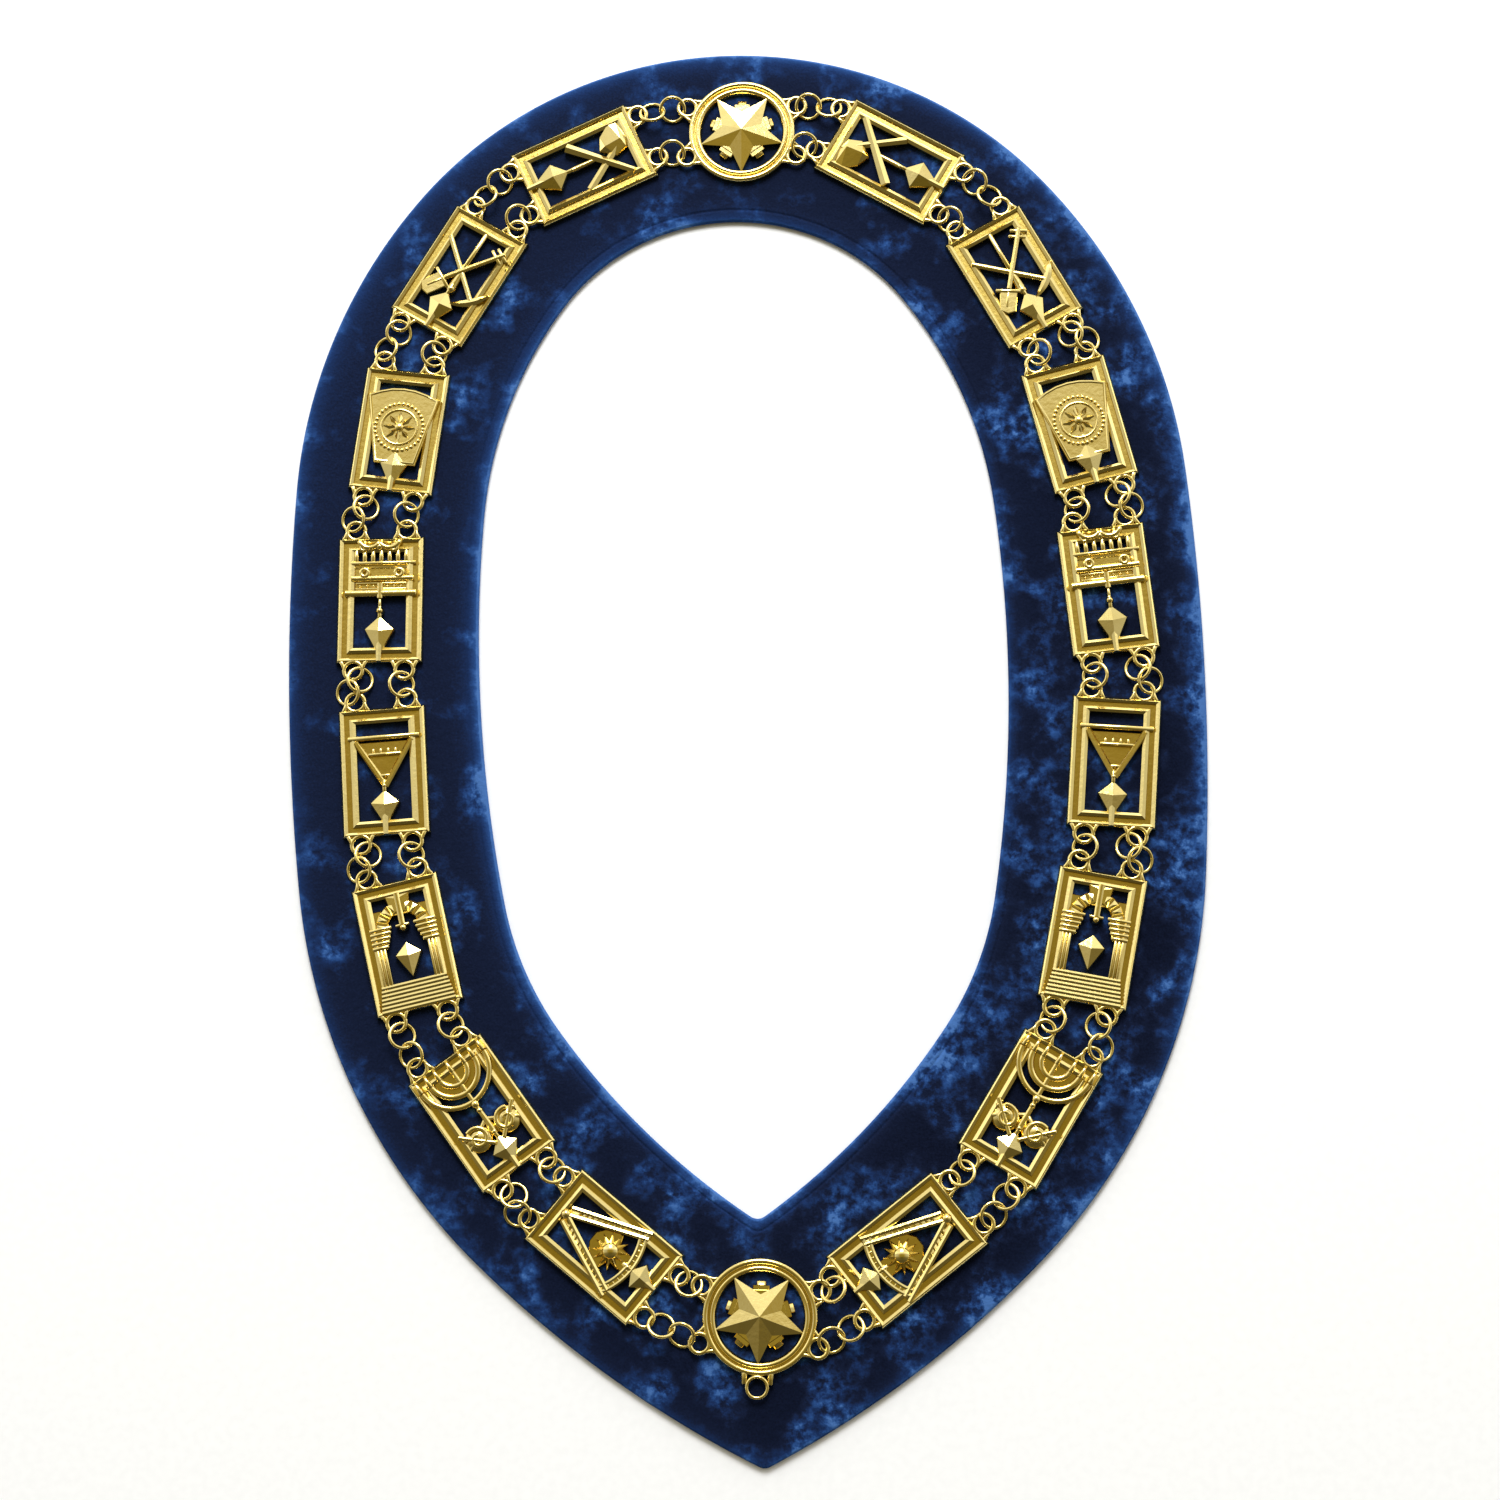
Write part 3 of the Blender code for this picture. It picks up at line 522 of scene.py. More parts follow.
def eyelet(foot, way, reach):
    """A cast loop: a ring of rounded wire, and two feet that flare from it into the casting."""
    turn = math.degrees(math.atan2(way[1], way[0]))
    foot, way = np.asarray(foot, float), np.asarray(way, float)
    side = np.array([-way[1], way[0]])
    a = np.radians(np.arange(0, 360, 36))
    section = np.stack([EYELET_HALF_WIDE * np.cos(a), EYELET_MIDDLE + EYELET_HALF_HIGH * np.sin(a)], axis=1)
    forms = [moulding(circle(foot + reach * way, EYELET_R, 24, turn), section, closed=True)]
    for hand in (-1, 1):
        flare = ((5.2, -1.0), (4.5, 0.8), (4.0, reach - 0.3))
        path = [foot + hand * apart * side + out * way for apart, out in flare]
        forms.append(moulding(path, rounded(1.5, 1.5, 2.85), taper=(1.4, 1, 0.6)))
    return forms


PLATE_EYELETS = {
    (end, side): ((out * EYELET_OFFSET, up * PLATE_TALL / 2), (0, up), EYELET_REACH)
    for end, up in (("top", 1), ("bottom", -1))
    for side, out in (("left", -1), ("right", 1))
}


def trowel(top, widest, tip, half, handle_top, handle_wide):
    """A trowel pointing down: a kite of a blade on a narrow spine, its tang and its handle.

    All are shares of the plate, but the handle's width is in millimetres.
    """
    heel = widest + 0.78 * (tip - widest)
    kite = outlined((0.5, top), (0.5 - half, widest), (0.5, heel), (0.5 + half, widest))
    crown = at(0.5, widest + 0.02)
    spine_end = (0.5, min(tip, 0.99))
    return [
        mound(kite, [(0, 0.1), (0, 2.6), (0.35, 3.2)], (crown, crown), 5.0),
        bar((0.5, widest + 0.05), spine_end, ridged(2.5, 0.2, 4.2), taper=(1, 0.8)),
        boss(at(0.5, top - 0.03), handle_wide * 0.55, 0.6, 3.7),
        bar((0.5, top - 0.07), (0.5, top + 0.03), rounded(1.7, 0.3, 3.4)),
        bar((0.5, handle_top), (0.5, top - 0.045), rounded(handle_wide, 0.2, 3.4), taper=(0.8, 1)),
    ]


def axe_and_baton():
    """An axe crossed with a square-ended baton."""
    head = outlined(
        (0.145, 0.19), (0.17, 0.125), (0.37, 0.095), (0.51, 0.125),
        (0.57, 0.23), (0.43, 0.345), (0.27, 0.30),
    )
    return [
        mound(head, [(0, 0.2), (0, 2.2), (0.3, 2.7)], (at(0.40, 0.15), at(0.42, 0.29)), 4.6),
        bar((0.37, 0.115), (0.82, 0.535), ridged(3.0, 0.2, 3.6), taper=(0.85, 1.05)),
        bar((0.83, 0.155), (0.22, 0.572), ridged(4.0, 0.3, 4.3), taper=(0.65, 1.0)),
    ] + trowel(0.63, 0.745, 1.02, 0.18, 0.36, 2.4)


def crow_pick_and_spade():
    """A crowbar, a pick and a spade, crossed."""
    pick_head = arc(at(0.375, 0.327), 23.4, -69.5, -28.2, 10)
    swell = 1.05 - 0.7 * np.abs(np.linspace(-1, 1, 11)) ** 1.5
    spade = ((0.26, 0.555), (0.44, 0.625), (0.30, 0.76), (0.21, 0.745), (0.145, 0.69))
    return [
        bar((0.51, 0.10), (0.50, 0.47), rounded(2.0, 0.2, 3.0)),
        bar((0.15, 0.25), (0.80, 0.645), rounded(2.4, 0.25, 3.5)),
        moulding(pick_head, ridged(3.2, 0.3, 3.8), taper=swell),
        bar((0.84, 0.175), (0.37, 0.57), rounded(2.2, 0.3, 3.8)),
        bar((0.74, 0.16), (0.90, 0.225), rounded(1.5, 0.3, 3.6)),
        bar((0.69, 0.195), (0.85, 0.265), rounded(1.5, 0.3, 3.6)),
        bar((0.23, 0.535), (0.46, 0.63), rounded(1.6, 0.3, 3.7)),
        slab(spade, 0.3, 3.2),
        bar((0.345, 0.59), (0.24, 0.69), rounded(1.3, 2.6, 3.5)),
    ] + trowel(0.655, 0.765, 1.037, 0.16, 0.485, 4.0)


def keystone():
    """An arched keystone with a raised border, and a rosette in a ring of beads."""
    outline = outlined(
        (0.26, 0.775), (0.75, 0.775), (0.92, 0.225), (0.77, 0.185), (0.63, 0.16),
        (0.49, 0.152), (0.35, 0.16), (0.22, 0.185), (0.08, 0.225),
    )
    middle = at(0.50, 0.475)
    border = np.array([(0.4, 3.2), (0.5, 3.6), (0.9, 3.8), (1.3, 3.6), (1.4, 3.2)])
    forms = [
        mound(outline, [(0, 0.1), (0, 3.0), (0.2, 3.3)], (middle, middle), 3.3),
        moulding(outline, border, closed=True),
        ring(middle, 7.7, 36, rounded(1.1, 3.0, 4.0)),
        boss(middle, 2.0, 3.0, 4.6),
    ]
    forms += [boss(polar(10.3, a, middle), 0.95, 3.1, 4.2, 8) for a in range(0, 360, 11)]
    for a in range(0, 360, 45):
        corners = ((1.7, 0), (4.3, 16), (6.8, 0), (4.3, -16))
        petal = [polar(radius, a + turn, middle) for radius, turn in corners]
        forms.append(mound(petal, [(0, 3.1), (0, 3.4)], (petal[0], petal[2]), 4.2))
    return forms + trowel(0.655, 0.775, 1.035, 0.165, 0.67, 2.0)


def ark():
    """A chest with carrying staves in rings, under wings and an arcade."""
    forms = [
        slab(((0.19, 0.21), (0.81, 0.21), (0.80, 0.44), (0.20, 0.44)), 0.1, 1.9),
        bar((0.16, 0.205), (0.90, 0.205), rounded(1.6, 0.2, 3.3)),
        bar((0.20, 0.24), (0.80, 0.24), squared(0.8, 0.2, 2.6)),
        bar((0.17, 0.33), (0.88, 0.33), rounded(2.4, 0.3, 3.9)),
        bar((0.22, 0.366), (0.80, 0.366), rounded(0.9, 0.3, 2.8)),
        bar((0.22, 0.411), (0.80, 0.411), rounded(0.9, 0.3, 2.8)),
        bar((0.10, 0.449), (0.915, 0.449), rounded(2.9, 0.3, 4.0)),
        bar((0.5, 0.37), (0.5, 0.49), rounded(2.5, 0.2, 4.1)),
    ]
    forms += [ring(at(u, 0.287), 1.6, 12, rounded(1.5, 1.2, 4.3)) for u in (0.32, 0.72)]
    forms += [boss(at(u, 0.389), 0.8, 1.2, 2.9, 8) for u in (0.26, 0.34, 0.42, 0.58, 0.66, 0.74)]
    forms += [bar((u, 0.105), (u, 0.20), rounded(1.9, 0.3, 3.0)) for u in np.linspace(0.215, 0.795, 7)]
    for u, start in ((0.37, 205), (0.60, 215)):
        forms.append(moulding(arc(at(u, -0.005), 4.9, start, start + 120, 12), rounded(2.0, 1.5, 4.3)))
    forms += [ring(at(u, 0.082), 1.3, 12, rounded(1.0, 1.5, 3.9)) for u in (0.30, 0.66)]
    forms.append(boss(at(0.485, 0.075), 1.8, 1.5, 4.3))
    return forms + trowel(0.627, 0.736, 1.02, 0.175, 0.49, 1.4) + [boss(at(0.5, 0.588), 1.8, 0.6, 4.3)]


def triangle():
    """An inverted triangle with a sunk field, crossed by a railed bar."""
    left, right, apex = (0.19, 0.262), (0.83, 0.262), (0.515, 0.615)
    forms = [
        slab((right, left, apex), 0.1, 1.4),
        bar((0.11, 0.233), (0.915, 0.233), rounded(2.0, 0.2, 3.4)),
        bar(left, apex, squared(2.4, 0.2, 3.3, 0.6)),
        bar(right, apex, squared(2.4, 0.25, 3.35, 0.6)),
        bar((0.34, 0.365), (0.70, 0.365), rounded(1.3, 0.9, 3.1)),
        bar((0.46, 0.534), (0.58, 0.534), rounded(1.4, 0.9, 3.1)),
    ]
    posts = (0.39, 0.475, 0.56, 0.645)
    forms += [bar((u, 0.325), (u, 0.36), rounded(1.0, 0.9, 2.9)) for u in posts]
    return forms + trowel(0.643, 0.745, 0.99, 0.17, 0.57, 2.6)


def arch_and_columns():
    """A voussoired arch on banded columns over steps, with a plumb rod under its crown."""
    centre = at(0.5, 0.36)
    forms = [
        moulding(arc(centre, 8.9, 0, 180, 24), squared(5.0, 0.1, 2.3)),
        bar((0.50, 0.10), (0.50, 0.34), rounded(2.8, 0.2, 3.9)),
        bar((0.43, 0.345), (0.57, 0.345), rounded(1.2, 0.8, 3.6)),
        boss(at(0.5, 0.366), 1.7, 0.8, 4.4),
    ]
    for a in range(10, 180, 20):
        corners = ((6.5, -8), (11.3, -8.5), (11.3, 8.5), (6.5, 8))
        block = [polar(radius, a + turn, centre) for radius, turn in corners]
        middle = np.mean(block, axis=0)
        forms.append(mound(block, [(0, 0.4), (0, 2.5), (0.45, 3.1)], (middle, middle), 3.6))
    crown = outlined((0.36, 0.105), (0.40, 0.26), (0.60, 0.26), (0.64, 0.105))
    forms.append(mound(crown, [(0, 0.15), (0, 2.6), (0.4, 3.1)], (at(0.5, 0.14), at(0.5, 0.22)), 3.6))
    for side in (-1, 1):
        haunch = beside(side, (0.31, 0.20), (0.15, 0.20), (0.23, 0.34), (0.31, 0.34))
        forms.append(slab(haunch, 0.1, 2.2))
        capital = beside(side, (0.37, 0.33), (0.145, 0.33), (0.165, 0.41), (0.22, 0.50), (0.37, 0.50))
        forms.append(slab(capital, 0.15, 2.7))
        forms.append(bar(*beside(side, (0.295, 0.36), (0.295, 0.80)), squared(4.2, 0.15, 2.4)))
        for out, wide in ((0.255, 1.3), (0.295, 1.3), (0.335, 1.1)):
            forms.append(bar(*beside(side, (out, 0.49), (out, 0.785)), rounded(wide, 1.0, 3.2)))
        for k, inner in enumerate((0.135, 0.15, 0.165, 0.185, 0.205)):
            v = 0.343 + 0.035 * k
            forms.append(bar(*beside(side, (inner, v), (0.375, v)), rounded(1.5, 0.3, 3.7)))
    for k in range(7):
        v, half = 0.79 + 0.0305 * k, 0.375 + 0.008 * k
        forms.append(bar((0.5 - half, v), (0.5 + half, v), ridged(1.6, 0.2, 3.5 + 0.03 * k)))
    return forms + trowel(0.475, 0.567, 0.81, 0.155, 0.36, 1.6)[:1]


def candlestick():
    """A seven-branched candlestick over two scrolls."""
    centre = at(0.50, 0.115)
    backing = arc(centre, 9.4, 180, 360, 20)
    forms = [
        bar((0.50, 0.09), (0.50, 0.42), rounded(1.9, 0.2, 3.6)),
        bar((0.50, 0.42), (0.50, 0.66), rounded(2.6, 0.2, 3.5), taper=(0.7, 1.2)),
        boss(at(0.50, 0.42), 2.1, 0.6, 4.4),
        boss(at(0.50, 0.475), 1.7, 0.6, 4.0),
        mound(backing, [(0, 0.1), (0, 1.5), (0.3, 1.8)], (centre - (4, 3), centre + (4, -3)), 1.8),
    ]
    branches = ((15.2, 2.3), (10.6, 2.5), (6.2, 2.3))
    for radius, wide in branches:
        forms.append(moulding(arc(centre, radius, 183, 357, 28), rounded(wide, 0.3, 3.7)))
    reach = [radius for radius, _ in branches]
    for out in [-radius for radius in reach] + [0] + reach[::-1]:
        foot = centre + (out, 0.4)
        forms.append(moulding([foot - (0, 0.6), foot + (0, 3.4)], rounded(2.3, 1.5, 4.3), taper=(1, 0.6)))
    for side in (-1, 1):
        spot = at(0.5 + side * 0.19, 0.645)
        turn = np.radians(np.linspace(60, 480, 29))
        curl = np.linspace(4.9, 1.3, 29)[:, None] * np.stack([side * np.cos(turn), np.sin(turn)], axis=1)
        oval = spot + circle((0, 0), 5.6, 18) * (1.05, 1)
        forms += [
            mound(oval, [(0, 0.2), (0, 1.7), (0.9, 2.7)], (spot, spot), 4.2, True),
            moulding(spot + curl, rounded(1.8, 0.3, 4.3)),
            boss(at(0.5 + side * 0.325, 0.60), 1.3, 0.3, 3.9, 10),
            bar(*beside(side, (0, 0.55), (0.34, 0.69)), rounded(1.7, 0.25, 3.1)),
            bar(*beside(side, (0.36, 0.555), (0.06, 0.745)), rounded(1.8, 0.3, 4.3)),
        ]
    return forms + trowel(0.70, 0.81, 1.01, 0.17, 0.55, 3.0)


def compasses():
    """Compasses open on a graduated arc, with a rayed sun between the legs."""
    joint, sun, swing = at(0.505, 0.13), at(0.51, 0.555), at(0.5, 0.25)
    backing = (
        (0.45, 0.385), (0.57, 0.385), (0.66, 0.43), (0.73, 0.53), (0.73, 0.56), (0.62, 0.59),
        (0.61, 0.75), (0.41, 0.75), (0.41, 0.59), (0.29, 0.56), (0.29, 0.53), (0.36, 0.43),
    )
    forms = [
        boss(joint, 2.4, 0.6, 4.6),
        boss(sun, 3.7, 0.5, 4.0, 18),
        slab(backing, 0.1, 1.9),
    ]
    for side in (-1, 1):
        hip, foot = np.array([0.51 + side * 0.045, 0.14]), np.array([0.52 + side * 0.39, 0.72])
        forms.append(bar(hip, foot, squared(4.4, 0.2, 2.4)))
        for shift in (-0.046, 0.046):
            forms.append(bar(hip + (shift, 0), foot + (shift * 0.8, 0), ridged(1.7, 1.0, 3.7)))
        half = np.array([0.045, 0.004 * side])
        for share in np.linspace(0.12, 0.93, 12):
            spot = hip + share * (foot - hip)
            forms.append(bar(spot - half, spot + half, rounded(0.9, 1.0, 3.0)))
    rail = ridged(1.3, 0.2, 3.5)
    for radius, section in ((26.9, squared(3.4, 0.2, 2.4)), (28.1, rail), (25.7, rail)):
        forms.append(moulding(arc(swing, radius, -122, -58, 28), section))
    for a in range(-118, -60, 5):
        forms.append(moulding([polar(r, a, swing) for r in (25.6, 28.2)], rounded(0.9, 1.0, 3.1)))
    for a in range(0, 360, 30):
        corners = ((3.0, -14.6), (3.9, -14.6), (7.6, 0), (3.9, 14.6), (3.0, 14.6))
        ray = [polar(radius, a + turn, sun) for radius, turn in corners]
        forms.append(mound(ray, [(0, 0.4), (0, 2.3)], (ray[2], sun), 3.0))
    return forms + trowel(0.76, 0.83, 1.02, 0.165, 0.70, 2.8)


# Heights over which the gilding's painted shade fades from the hollows to the raised parts.
HOLLOW_Z, RAISED_Z = 4.4, 5.2


def gilt_tone():
    """Node group for gilding: tone with painted shade that darkens the hollows, handling marks and a fine
    bump.

    Height above the table sets how hollow a spot is and so how much painted shade it takes,
    and noise breaks it up. The bump is the soft unevenness of a polished casting, with a
    little grain on it.
    """
    group = bpy.data.node_groups.new("gilt_tone", "ShaderNodeTree")
    for name, way, kind in (
        ("Hollow Shade", "INPUT", "Float"),
        ("Grain", "INPUT", "Float"),
        ("Color", "OUTPUT", "Color"),
        ("Roughness", "OUTPUT", "Float"),
        ("Normal", "OUTPUT", "Vector"),
    ):
        group.interface.new_socket(name, in_out=way, socket_type=f"NodeSocket{kind}")
    given = node(group, "NodeGroupInput", {}).outputs
    place = node(group, "ShaderNodeTexCoord", {}).outputs["Object"]
    cloudy = noise(group, place, 180.0, 3.0)
    uneven = noise(group, place, 520.0)
    grainy = noise(group, place, 1900.0, 2.0, 0.6)
    height = node(group, "ShaderNodeSeparateXYZ", {"Vector": place}).outputs["Z"]
    raised = rescaled(group, height, HOLLOW_Z * MM, RAISED_Z * MM, interpolation_type="SMOOTHSTEP")
    # Painted shade in the hollows, as strong as the amount given.
    hollow = maths(group, "MULTIPLY", maths(group, "SUBTRACT", 1.0, raised), given["Hollow Shade"])
    marks = rescaled(group, cloudy, 0.3, 0.7, -0.15, 0.15)
    tone = maths(group, "ADD", hollow, marks, use_clamp=True)
    # The gold from bright on raised parts to deep where the painted shade and the marks fall.
    bright, middling, deep = (0.82, 0.66, 0.25), (0.71, 0.54, 0.155), (0.58, 0.415, 0.085)
    colour = ramp(group, tone, ((0.0, bright), (0.4, middling), (1.0, deep)))
    rough = maths(group, "MULTIPLY_ADD", grainy, 0.05, rescaled(group, tone, 0.0, 1.0, 0.12, 0.17))
    relief = maths(group, "MULTIPLY_ADD", grainy, 0.18, uneven)
    bump = node(group, "ShaderNodeBump", {"Height": relief, "Strength": given["Grain"], "Distance": 0.0003})
    node(group, "NodeGroupOutput", {"Color": colour, "Roughness": rough, "Normal": bump.outputs["Normal"]})
    return group


GILT_TONE = gilt_tone()


def gilt(name, hollow_shade, grain):
    """Bright gilding over brass, whose tone, gloss and grain come from the shared group."""
    made, tree, metal = new_material(name)
    amounts = {"Hollow Shade": hollow_shade, "Grain": grain}
    tone = node(tree, "ShaderNodeGroup", amounts, node_tree=GILT_TONE).outputs
    looks = {"Base Color": tone["Color"], "Roughness": tone["Roughness"], "Normal": tone["Normal"]}
    fill(tree, metal, {**looks, "Metallic": 1.0})
    return made


gilt_casting = gilt("gilt_casting", 0.75, 0.13)
# From the nape to the front, and the same on both sides.
DESIGNS = (
    axe_and_baton, crow_pick_and_spade, keystone, ark,
    triangle, arch_and_columns, candlestick, compasses,
)
seats = {}
for k, design in enumerate(DESIGNS):
    title = design.__name__
    forms = [plate_frame()] + [form for row in PLATE_EYELETS.values() for form in eyelet(*row)] + design()
    for side in ("left", "right"):
        turned, slid, aside = SEWING[side][k]
        x, y, turn = seat(side, FIRST_PITCH + k * PITCH + slid)
        turn += math.radians(turned)
        seats[side, k] = (x + aside * math.cos(turn), y + aside * math.sin(turn), turn)
        name = f"{side}_plate_{k + 1}_{title}"
        sewn = [placed(form, *seats[side, k]) for form in forms]
        plate = make_piece(f"{side}_{title}_casting", sewn, gilt_casting)
        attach(plate, "root")
        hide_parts(name)

# ------------------------------------------------------------------ the two medallions
# Round gilt brass castings sewn down at the nape and in front: a double-ribbed ring round
# a five-pointed star with stepped blocks between its points. The front one has two ears
# for the jewel's ring.

MEDALLION_R, STAR_R = 23.0, 18.6
NAPE_DROP, NAPE_TURN, FRONT_RISE, FRONT_TURN = 2.9, -1.0, 0.9, -3.0
MEDALLION_REACH = 3.65
EAR_X = 5.2

MEDALLION_EYELETS = {
    key: (polar(MEDALLION_R - 0.5, degrees), polar(1, degrees), MEDALLION_REACH)
    for key, degrees in (
        (("upper", "left"), 154.5),
        (("lower", "left"), 205.5),
        (("upper", "right"), 25.5),
        (("lower", "right"), -25.5),
    )
}


def medallion_forms(with_ears):
    """Ring, star, stepped blocks and eyelets; the star's facets fall from its middle to its edge."""
    section = np.array(
        [(0, 0), (0, 2.2), (0.3, 2.8), (0.9, 3.1), (1.7, 3.05), (2.2, 2.6), (2.35, 1.6)]
        + [(2.95, 1.6), (3.1, 2.5), (3.5, 2.85), (4.3, 2.9), (4.9, 2.5), (5.3, 1.7), (5.6, 0.9), (5.6, 0)]
    )
    forms = [ring((0, 0), MEDALLION_R, 72, section)]
    forms += [form for row in MEDALLION_EYELETS.values() for form in eyelet(*row)]
    tips, notches = (STAR_R, 2.5), (8.8, 3.1)
    edge = [(*polar(radius, -90 + 36 * k), high) for k, (radius, high) in enumerate((tips, notches) * 5)]
    foot = [(x, y, 0.2) for x, y, _ in edge]
    star = np.array([[(0, 0, 0.2)] * 10, foot, edge, [(0, 0, 5.3)] * 10])
    forms.append((*grid(star, False, True), False))
    for k in range(5):
        for out, wide, high in ((10.4, 9.4, 2.9), (12.3, 6.6, 2.5), (13.9, 3.8, 2.1)):
            path = [polar(6.0, -54 + 72 * k), polar(out, -54 + 72 * k)]
            forms.append(moulding(path, squared(wide, 0.25, high)))
    if with_ears:
        for side in (-1, 1):
            path = [(side * EAR_X, -20.5), (side * EAR_X, -26.0)]
            forms.append(moulding(path, rounded(2.6, 0.5, 2.9), taper=(1.15, 0.8)))
    return forms


front_line = along_arcs(CHAIN_APEX_Y, CHAIN_LINE, np.array([LINE_LENGTH]))[0][0]
for end, spot, turn in (
    ("nape", (NAPE_SLIP, CHAIN_APEX_Y - NAPE_DROP), NAPE_TURN),
    ("front", (0, front_line[1] + FRONT_RISE), FRONT_TURN),
):
    seats[end] = (*leaned(np.array(spot)), math.radians(turn))
    forms = [placed(form, *seats[end]) for form in medallion_forms(end == "front")]
    medallion = make_piece(f"{end}_star_medallion", forms, gilt_casting)
    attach(medallion, "root")
    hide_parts(f"{end}_medallion")

# ------------------------------------------------------------------ the jump rings
# Rings of round gilt wire, butted shut: two linked ones between neighbouring castings along
# the outer edge, and one along the inner edge. They lie as they fell, leaning on each other.

RING_R, WIRE_R = 5.2, 0.76

# The middles of two linked rings lie SLACK_LINK apart when loose and TAUT_LINK when drawn
# out. At a crossing a ring's wire passes OVER_EYELET above or below an eyelet's middle, and
# twice OVER_RING above or below its neighbour's.
SLACK_LINK, TAUT_LINK, LEAST_SLACK = 7.4, 2 * RING_R - 1.5, 0.5
OVER_EYELET, OVER_RING, LEAST_ASIDE = 1.52, 0.80, 1.5
BARELY_CROSSING = 0.01
BUTT_GAP = 0.8
WIRE_FLOOR = VELVET_THICK + 0.1


def eye(where, foot, way, reach):
    """The middle of an eyelet's hole, seen from above."""
    spot = np.array([[foot[0] + reach * way[0], foot[1] + reach * way[1], 0.0]])
    return placed((spot,), *where)[0][0, :2]


def crossings(c1, r1, c2, r2, outward):
    """Where two circles cross, the one on the outward side first.

    Along the line of centres the chord lies at (d*d + r1*r1 - r2*r2) / 2d.
    """
    span = c2 - c1
    d = np.linalg.norm(span)
    near = (d * d + r1 * r1 - r2 * r2) / (2 * d)
    aside = math.sqrt(max(r1 * r1 - near * near, BARELY_CROSSING))
    side = np.array([-span[1], span[0]]) / d
    side = side if side @ outward > 0 else -side
    return c1 + near * span / d + aside * side, c1 + near * span / d - aside * side


def one_ring(a, b, outward):
    """One ring through two eyelets: its middle, and the plane that best clears them.

    The plane passes over each eyelet on one side and under it on the other, in the sense
    of least squares.
    """
    aside = max(math.sqrt(max(RING_R**2 - (b - a) @ (b - a) / 4, 0)), LEAST_ASIDE)
    middle = (a + b) / 2 + aside * outward
    rows, wanted = [], []
    for hole in (a, b):
        for point, over in zip(crossings(middle, RING_R, hole, EYELET_R, outward), (1, -1)):
            rows.append([*(point - middle), 1])
            wanted.append(over * OVER_EYELET)
    return [(middle, np.linalg.lstsq(np.array(rows), np.array(wanted), rcond=None)[0])]


def two_rings(a, b, outward):
    """Two linked rings between two eyelets, folded into a zigzag where there is slack.

    Each swings off the line until their middles are one link apart: cos swing =
    (length**2 + 4 * radius**2 - link**2) / (4 * length * radius). Their planes pass over
    and under the eyelets and each other in the sense of least squares, and where they are
    drawn taut both planes meet at the middle of the link.
    """
    length = np.linalg.norm(b - a)
    ahead = (b - a) / length
    slack = length < 2 * RING_R + SLACK_LINK - LEAST_SLACK
    link = SLACK_LINK if slack else TAUT_LINK
    swing = math.acos(min((length**2 + 4 * RING_R**2 - link**2) / (4 * length * RING_R), 1))
    stretch = max(0, (length - 2 * RING_R - TAUT_LINK) / 2)
    arm = (RING_R + stretch) * (math.cos(swing) * ahead - math.sin(swing) * outward)
    first, second = a + arm, b - arm
    rows, wanted = [], []
    for point, over in zip(crossings(first, RING_R, a, EYELET_R, outward), (1, -1)):
        rows.append([*(point - first), 1, 0, 0, 0])
        wanted.append(over * OVER_EYELET)
    for point, over in zip(crossings(second, RING_R, b, EYELET_R, outward), (-1, 1)):
        rows.append([0, 0, 0, *(point - second), 1])
        wanted.append(over * OVER_EYELET)
    if slack:
        for point, over in zip(crossings(first, RING_R, second, RING_R, outward), (1, -1)):
            rows.append([*(point - first), 1, *(second - point), -1])
            wanted.append(over * 2 * OVER_RING)
    else:
        link_middle = (first + second) / 2
        rows += [[*(link_middle - first), 1, 0, 0, 0], [0, 0, 0, *(link_middle - second), 1]]
        wanted += [0, 0]
    planes = np.linalg.lstsq(np.array(rows), np.array(wanted), rcond=None)[0]
    return [(first, planes[:3]), (second, planes[3:])]


def wire_ring(middle, plane, radius, wire, joint):
    """A round wire bent to a ring whose ends all but meet: a circle carried round a circle.

    Each section lies in the plane of the ring's axis and its own radius, and the whole
    ring lies in the plane height = slopes . (position - middle) + lift. A ring that would
    sink into the velvet is raised to lie on it.
    """
    round_ring = math.radians(joint) + np.radians(np.linspace(BUTT_GAP, 360 - BUTT_GAP, 49))
    round_wire = np.radians(np.arange(0, 360, 36))
    axis = np.array([-plane[0], -plane[1], 1.0])
    axis /= np.linalg.norm(axis)
    east = np.cross([0, 1.0, 0], axis)
    east /= np.linalg.norm(east)
    north = np.cross(axis, east)
    out = np.cos(round_ring)[:, None] * east + np.sin(round_ring)[:, None] * north
    section = np.cos(round_wire)[:, None, None] * out[None] + np.sin(round_wire)[:, None, None] * axis
    spine = np.array([*middle, SEAT_Z + EYELET_MIDDLE + plane[2]]) + radius * out
    rows = (spine[None] + wire * section).transpose(1, 0, 2)
    lift = max(0.0, WIRE_FLOOR - rows[..., 2].min())
    ends = [np.broadcast_to(row.mean(axis=0), row.shape) for row in (rows[0], rows[-1])]
    rows = np.concatenate([ends[:1], rows, ends[1:]]) + (0, 0, lift)
    return (*grid(rows, False, True), True)


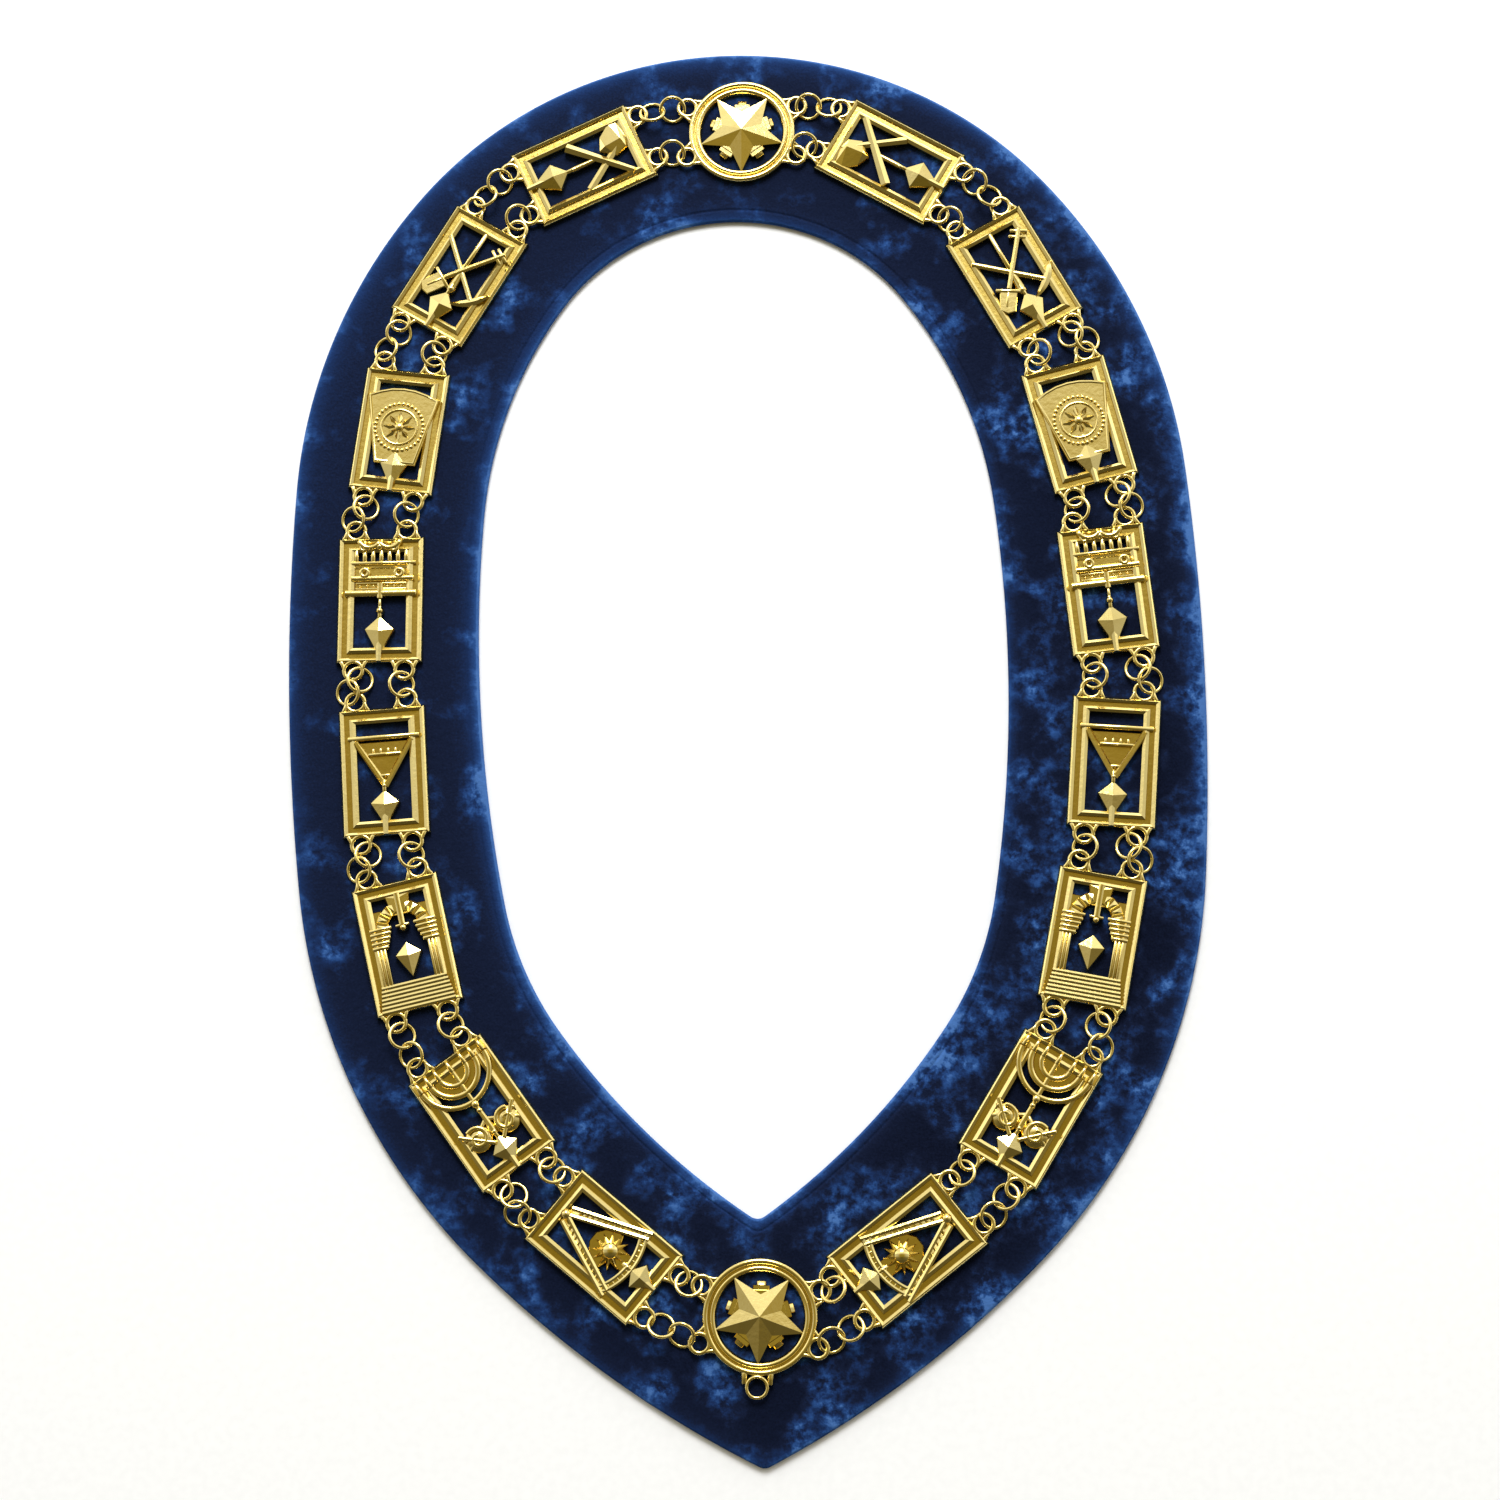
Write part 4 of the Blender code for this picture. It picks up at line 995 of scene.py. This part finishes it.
def strands():
    """Each strand's CAD node, lane, two eyelets and the way outward from the collar's middle."""
    for side, other in (("left", "right"), ("right", "left")):
        for lane, plate_side in (("outer", side), ("inner", other)):
            at_nape, in_front = ("upper", "lower") if lane == "outer" else ("lower", "upper")
            starts = [eye(seats["nape"], *MEDALLION_EYELETS[at_nape, side])]
            starts += [eye(seats[side, k], *PLATE_EYELETS["bottom", plate_side]) for k in range(8)]
            finishes = [eye(seats[side, k], *PLATE_EYELETS["top", plate_side]) for k in range(8)]
            finishes += [eye(seats["front"], *MEDALLION_EYELETS[in_front, side])]
            for gap, (start, finish) in enumerate(zip(starts, finishes), 1):
                ahead = (finish - start) / np.linalg.norm(finish - start)
                outward = np.array([-ahead[1], ahead[0]]) * (-1 if side == "left" else 1)
                yield f"{side}_{lane}_strand_{gap}", lane, start, finish, outward


gilt_wire = gilt("gilt_wire", 0.25, 0.12)
for number, (name, lane, start, finish, outward) in enumerate(strands()):
    rings = (two_rings if lane == "outer" else one_ring)(start, finish, outward)
    # Each butt joint stopped wherever its ring happened to turn, in degrees.
    joints = (67 * number, 67 * number + 140)
    forms = [wire_ring(*lie, RING_R, WIRE_R, joint) for lie, joint in zip(rings, joints)]
    strand = make_piece(name.replace("strand", "rings"), forms, gilt_wire, crease=60)
    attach(strand, "root")
    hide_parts(name)

# ------------------------------------------------------------------ the jewel's ring
# A smaller ring of the same gilt wire between the front medallion's ears, from which the
# jewel hangs. It is butted shut like the others.

JEWEL_RING_R, JEWEL_WIRE_R, JEWEL_RING_Y = 4.1, 0.74, -27.4
hang = placed((np.array([[0, JEWEL_RING_Y, 0.0]]),), *seats["front"])[0][0]
lying, joint = (0.0, 0.05, 0.2), 92
jewel_form = wire_ring(hang[:2], lying, JEWEL_RING_R, JEWEL_WIRE_R, joint)
jewel_ring = make_piece("jewel_hanging_ring", [jewel_form], gilt_wire, crease=60)
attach(jewel_ring, "root")
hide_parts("jewel_ring")

# ------------------------------------------------------------------ the table, light and camera
# A plain table of matt white paper, one large soft light beyond the nape in a pale room,
# and a camera that looks down on the collar from high over its point. All are in metres.

TABLE_HALF, TABLE_Z = 4, -0.0002
LAMP_AT, LAMP_SIZE, LAMP_POWER, LAMP_COLOUR = (0.0, 1.7, 1.7), 1.0, 54, (0.96, 0.98, 1.0)
ROOM_BRIGHT = 3.0
CAMERA_AT, CAMERA_AIM, CAMERA_UP = (0.076, -0.255, 1.179), (0.0029, -0.0097, 0.0), (0.0096, 1.0, 0.0)


def white_paper():
    """Matt white paper with a faint tooth."""
    made, tree, paper = new_material("white_paper")
    place = node(tree, "ShaderNodeTexCoord", {}).outputs["Object"]
    tooth = noise(tree, place, 300.0)
    colour = ramp(tree, tooth, ((0.3, (0.91, 0.915, 0.93)), (0.7, (0.94, 0.945, 0.96))))
    fill(tree, paper, {"Base Color": colour, "Roughness": 0.9})
    return made


table_mesh = bpy.data.meshes.new("table_top")
corners = [(x * TABLE_HALF, y * TABLE_HALF, TABLE_Z) for x, y in ((-1, -1), (1, -1), (1, 1), (-1, 1))]
table_mesh.from_pydata(corners, [], [(0, 1, 2, 3)])
table_mesh.materials.append(white_paper())
table = bpy.data.objects.new("table_top", table_mesh)
bpy.context.scene.collection.objects.link(table)


def facing(position, target, up):
    """Matrix of a light or camera at a position, looking at a target."""
    back = (Vector(position) - Vector(target)).normalized()
    right = Vector(up).cross(back).normalized()
    turn = Matrix((right, back.cross(right), back)).transposed()
    return Matrix.Translation(position) @ turn.to_4x4()


softbox = bpy.data.lights.new("nape_softbox", "AREA")
softbox.shape = "SQUARE"
softbox.size = LAMP_SIZE
softbox.energy = LAMP_POWER
softbox.color = LAMP_COLOUR
lamp = bpy.data.objects.new("nape_softbox", softbox)
bpy.context.scene.collection.objects.link(lamp)
lamp.matrix_world = facing(LAMP_AT, (0, 0, 0), (0, 1, 0.01))


def studio():
    """The room round the table: dim and warm overhead, pale low down, bright beyond the nape.

    Brightness = a ramp over the height of the direction * a ramp over how far it leans
    toward the nape. Warmth = how near it is to straight up * how little it leans, or how
    far it leans the other way.
    """
    made = bpy.data.worlds.new("studio")
    made.use_nodes = True
    tree = made.node_tree
    way = node(tree, "ShaderNodeTexCoord", {}).outputs["Generated"]
    way = node(tree, "ShaderNodeSeparateXYZ", {"Vector": way}).outputs
    heights = ((0.0, 1.0), (0.2, 0.68), (0.45, 0.54), (0.75, 0.47), (0.92, 0.33), (0.97, 0.27), (1.0, 0.25))
    height = ramp(tree, way["Z"], heights)
    leans = (
        (0.1, 0.06), (0.35, 0.15), (0.47, 0.42), (0.61, 0.44), (0.64, 0.66),
        (0.69, 1.0), (0.76, 1.0), (0.84, 0.6), (0.95, 0.75), (1.0, 0.95),
    )
    lean = ramp(tree, maths(tree, "MULTIPLY_ADD", way["Y"], 0.5, 0.5), leans)
    glow = maths(tree, "MULTIPLY", height, lean)
    above = rescaled(tree, way["Z"], 0.80, 0.93)
    upright = rescaled(tree, way["Y"], 0.25, 0.36, 1.0, 0.0)
    behind = rescaled(tree, way["Y"], 0.05, -0.3, 0.0, 0.7)
    warm = maths(tree, "MAXIMUM", maths(tree, "MULTIPLY", above, upright), behind)
    tint = ramp(tree, warm, ((0.0, 1.0), (1.0, (1.0, 0.80, 0.20))))
    room = node(tree, "ShaderNodeVectorMath", {0: glow, 1: tint}, operation="MULTIPLY").outputs[0]
    fill(tree, tree.nodes["Background"], {"Color": room, "Strength": ROOM_BRIGHT})
    return made


bpy.context.scene.world = studio()
bpy.context.scene.view_settings.view_transform = "Standard"

lens = bpy.data.cameras.new("camera")
lens.sensor_width = 36.0
lens.lens = 69.86
lens.clip_end = 20
camera = bpy.data.objects.new("camera", lens)
bpy.context.scene.collection.objects.link(camera)
camera.matrix_world = facing(CAMERA_AT, CAMERA_AIM, CAMERA_UP)
bpy.context.scene.camera = camera
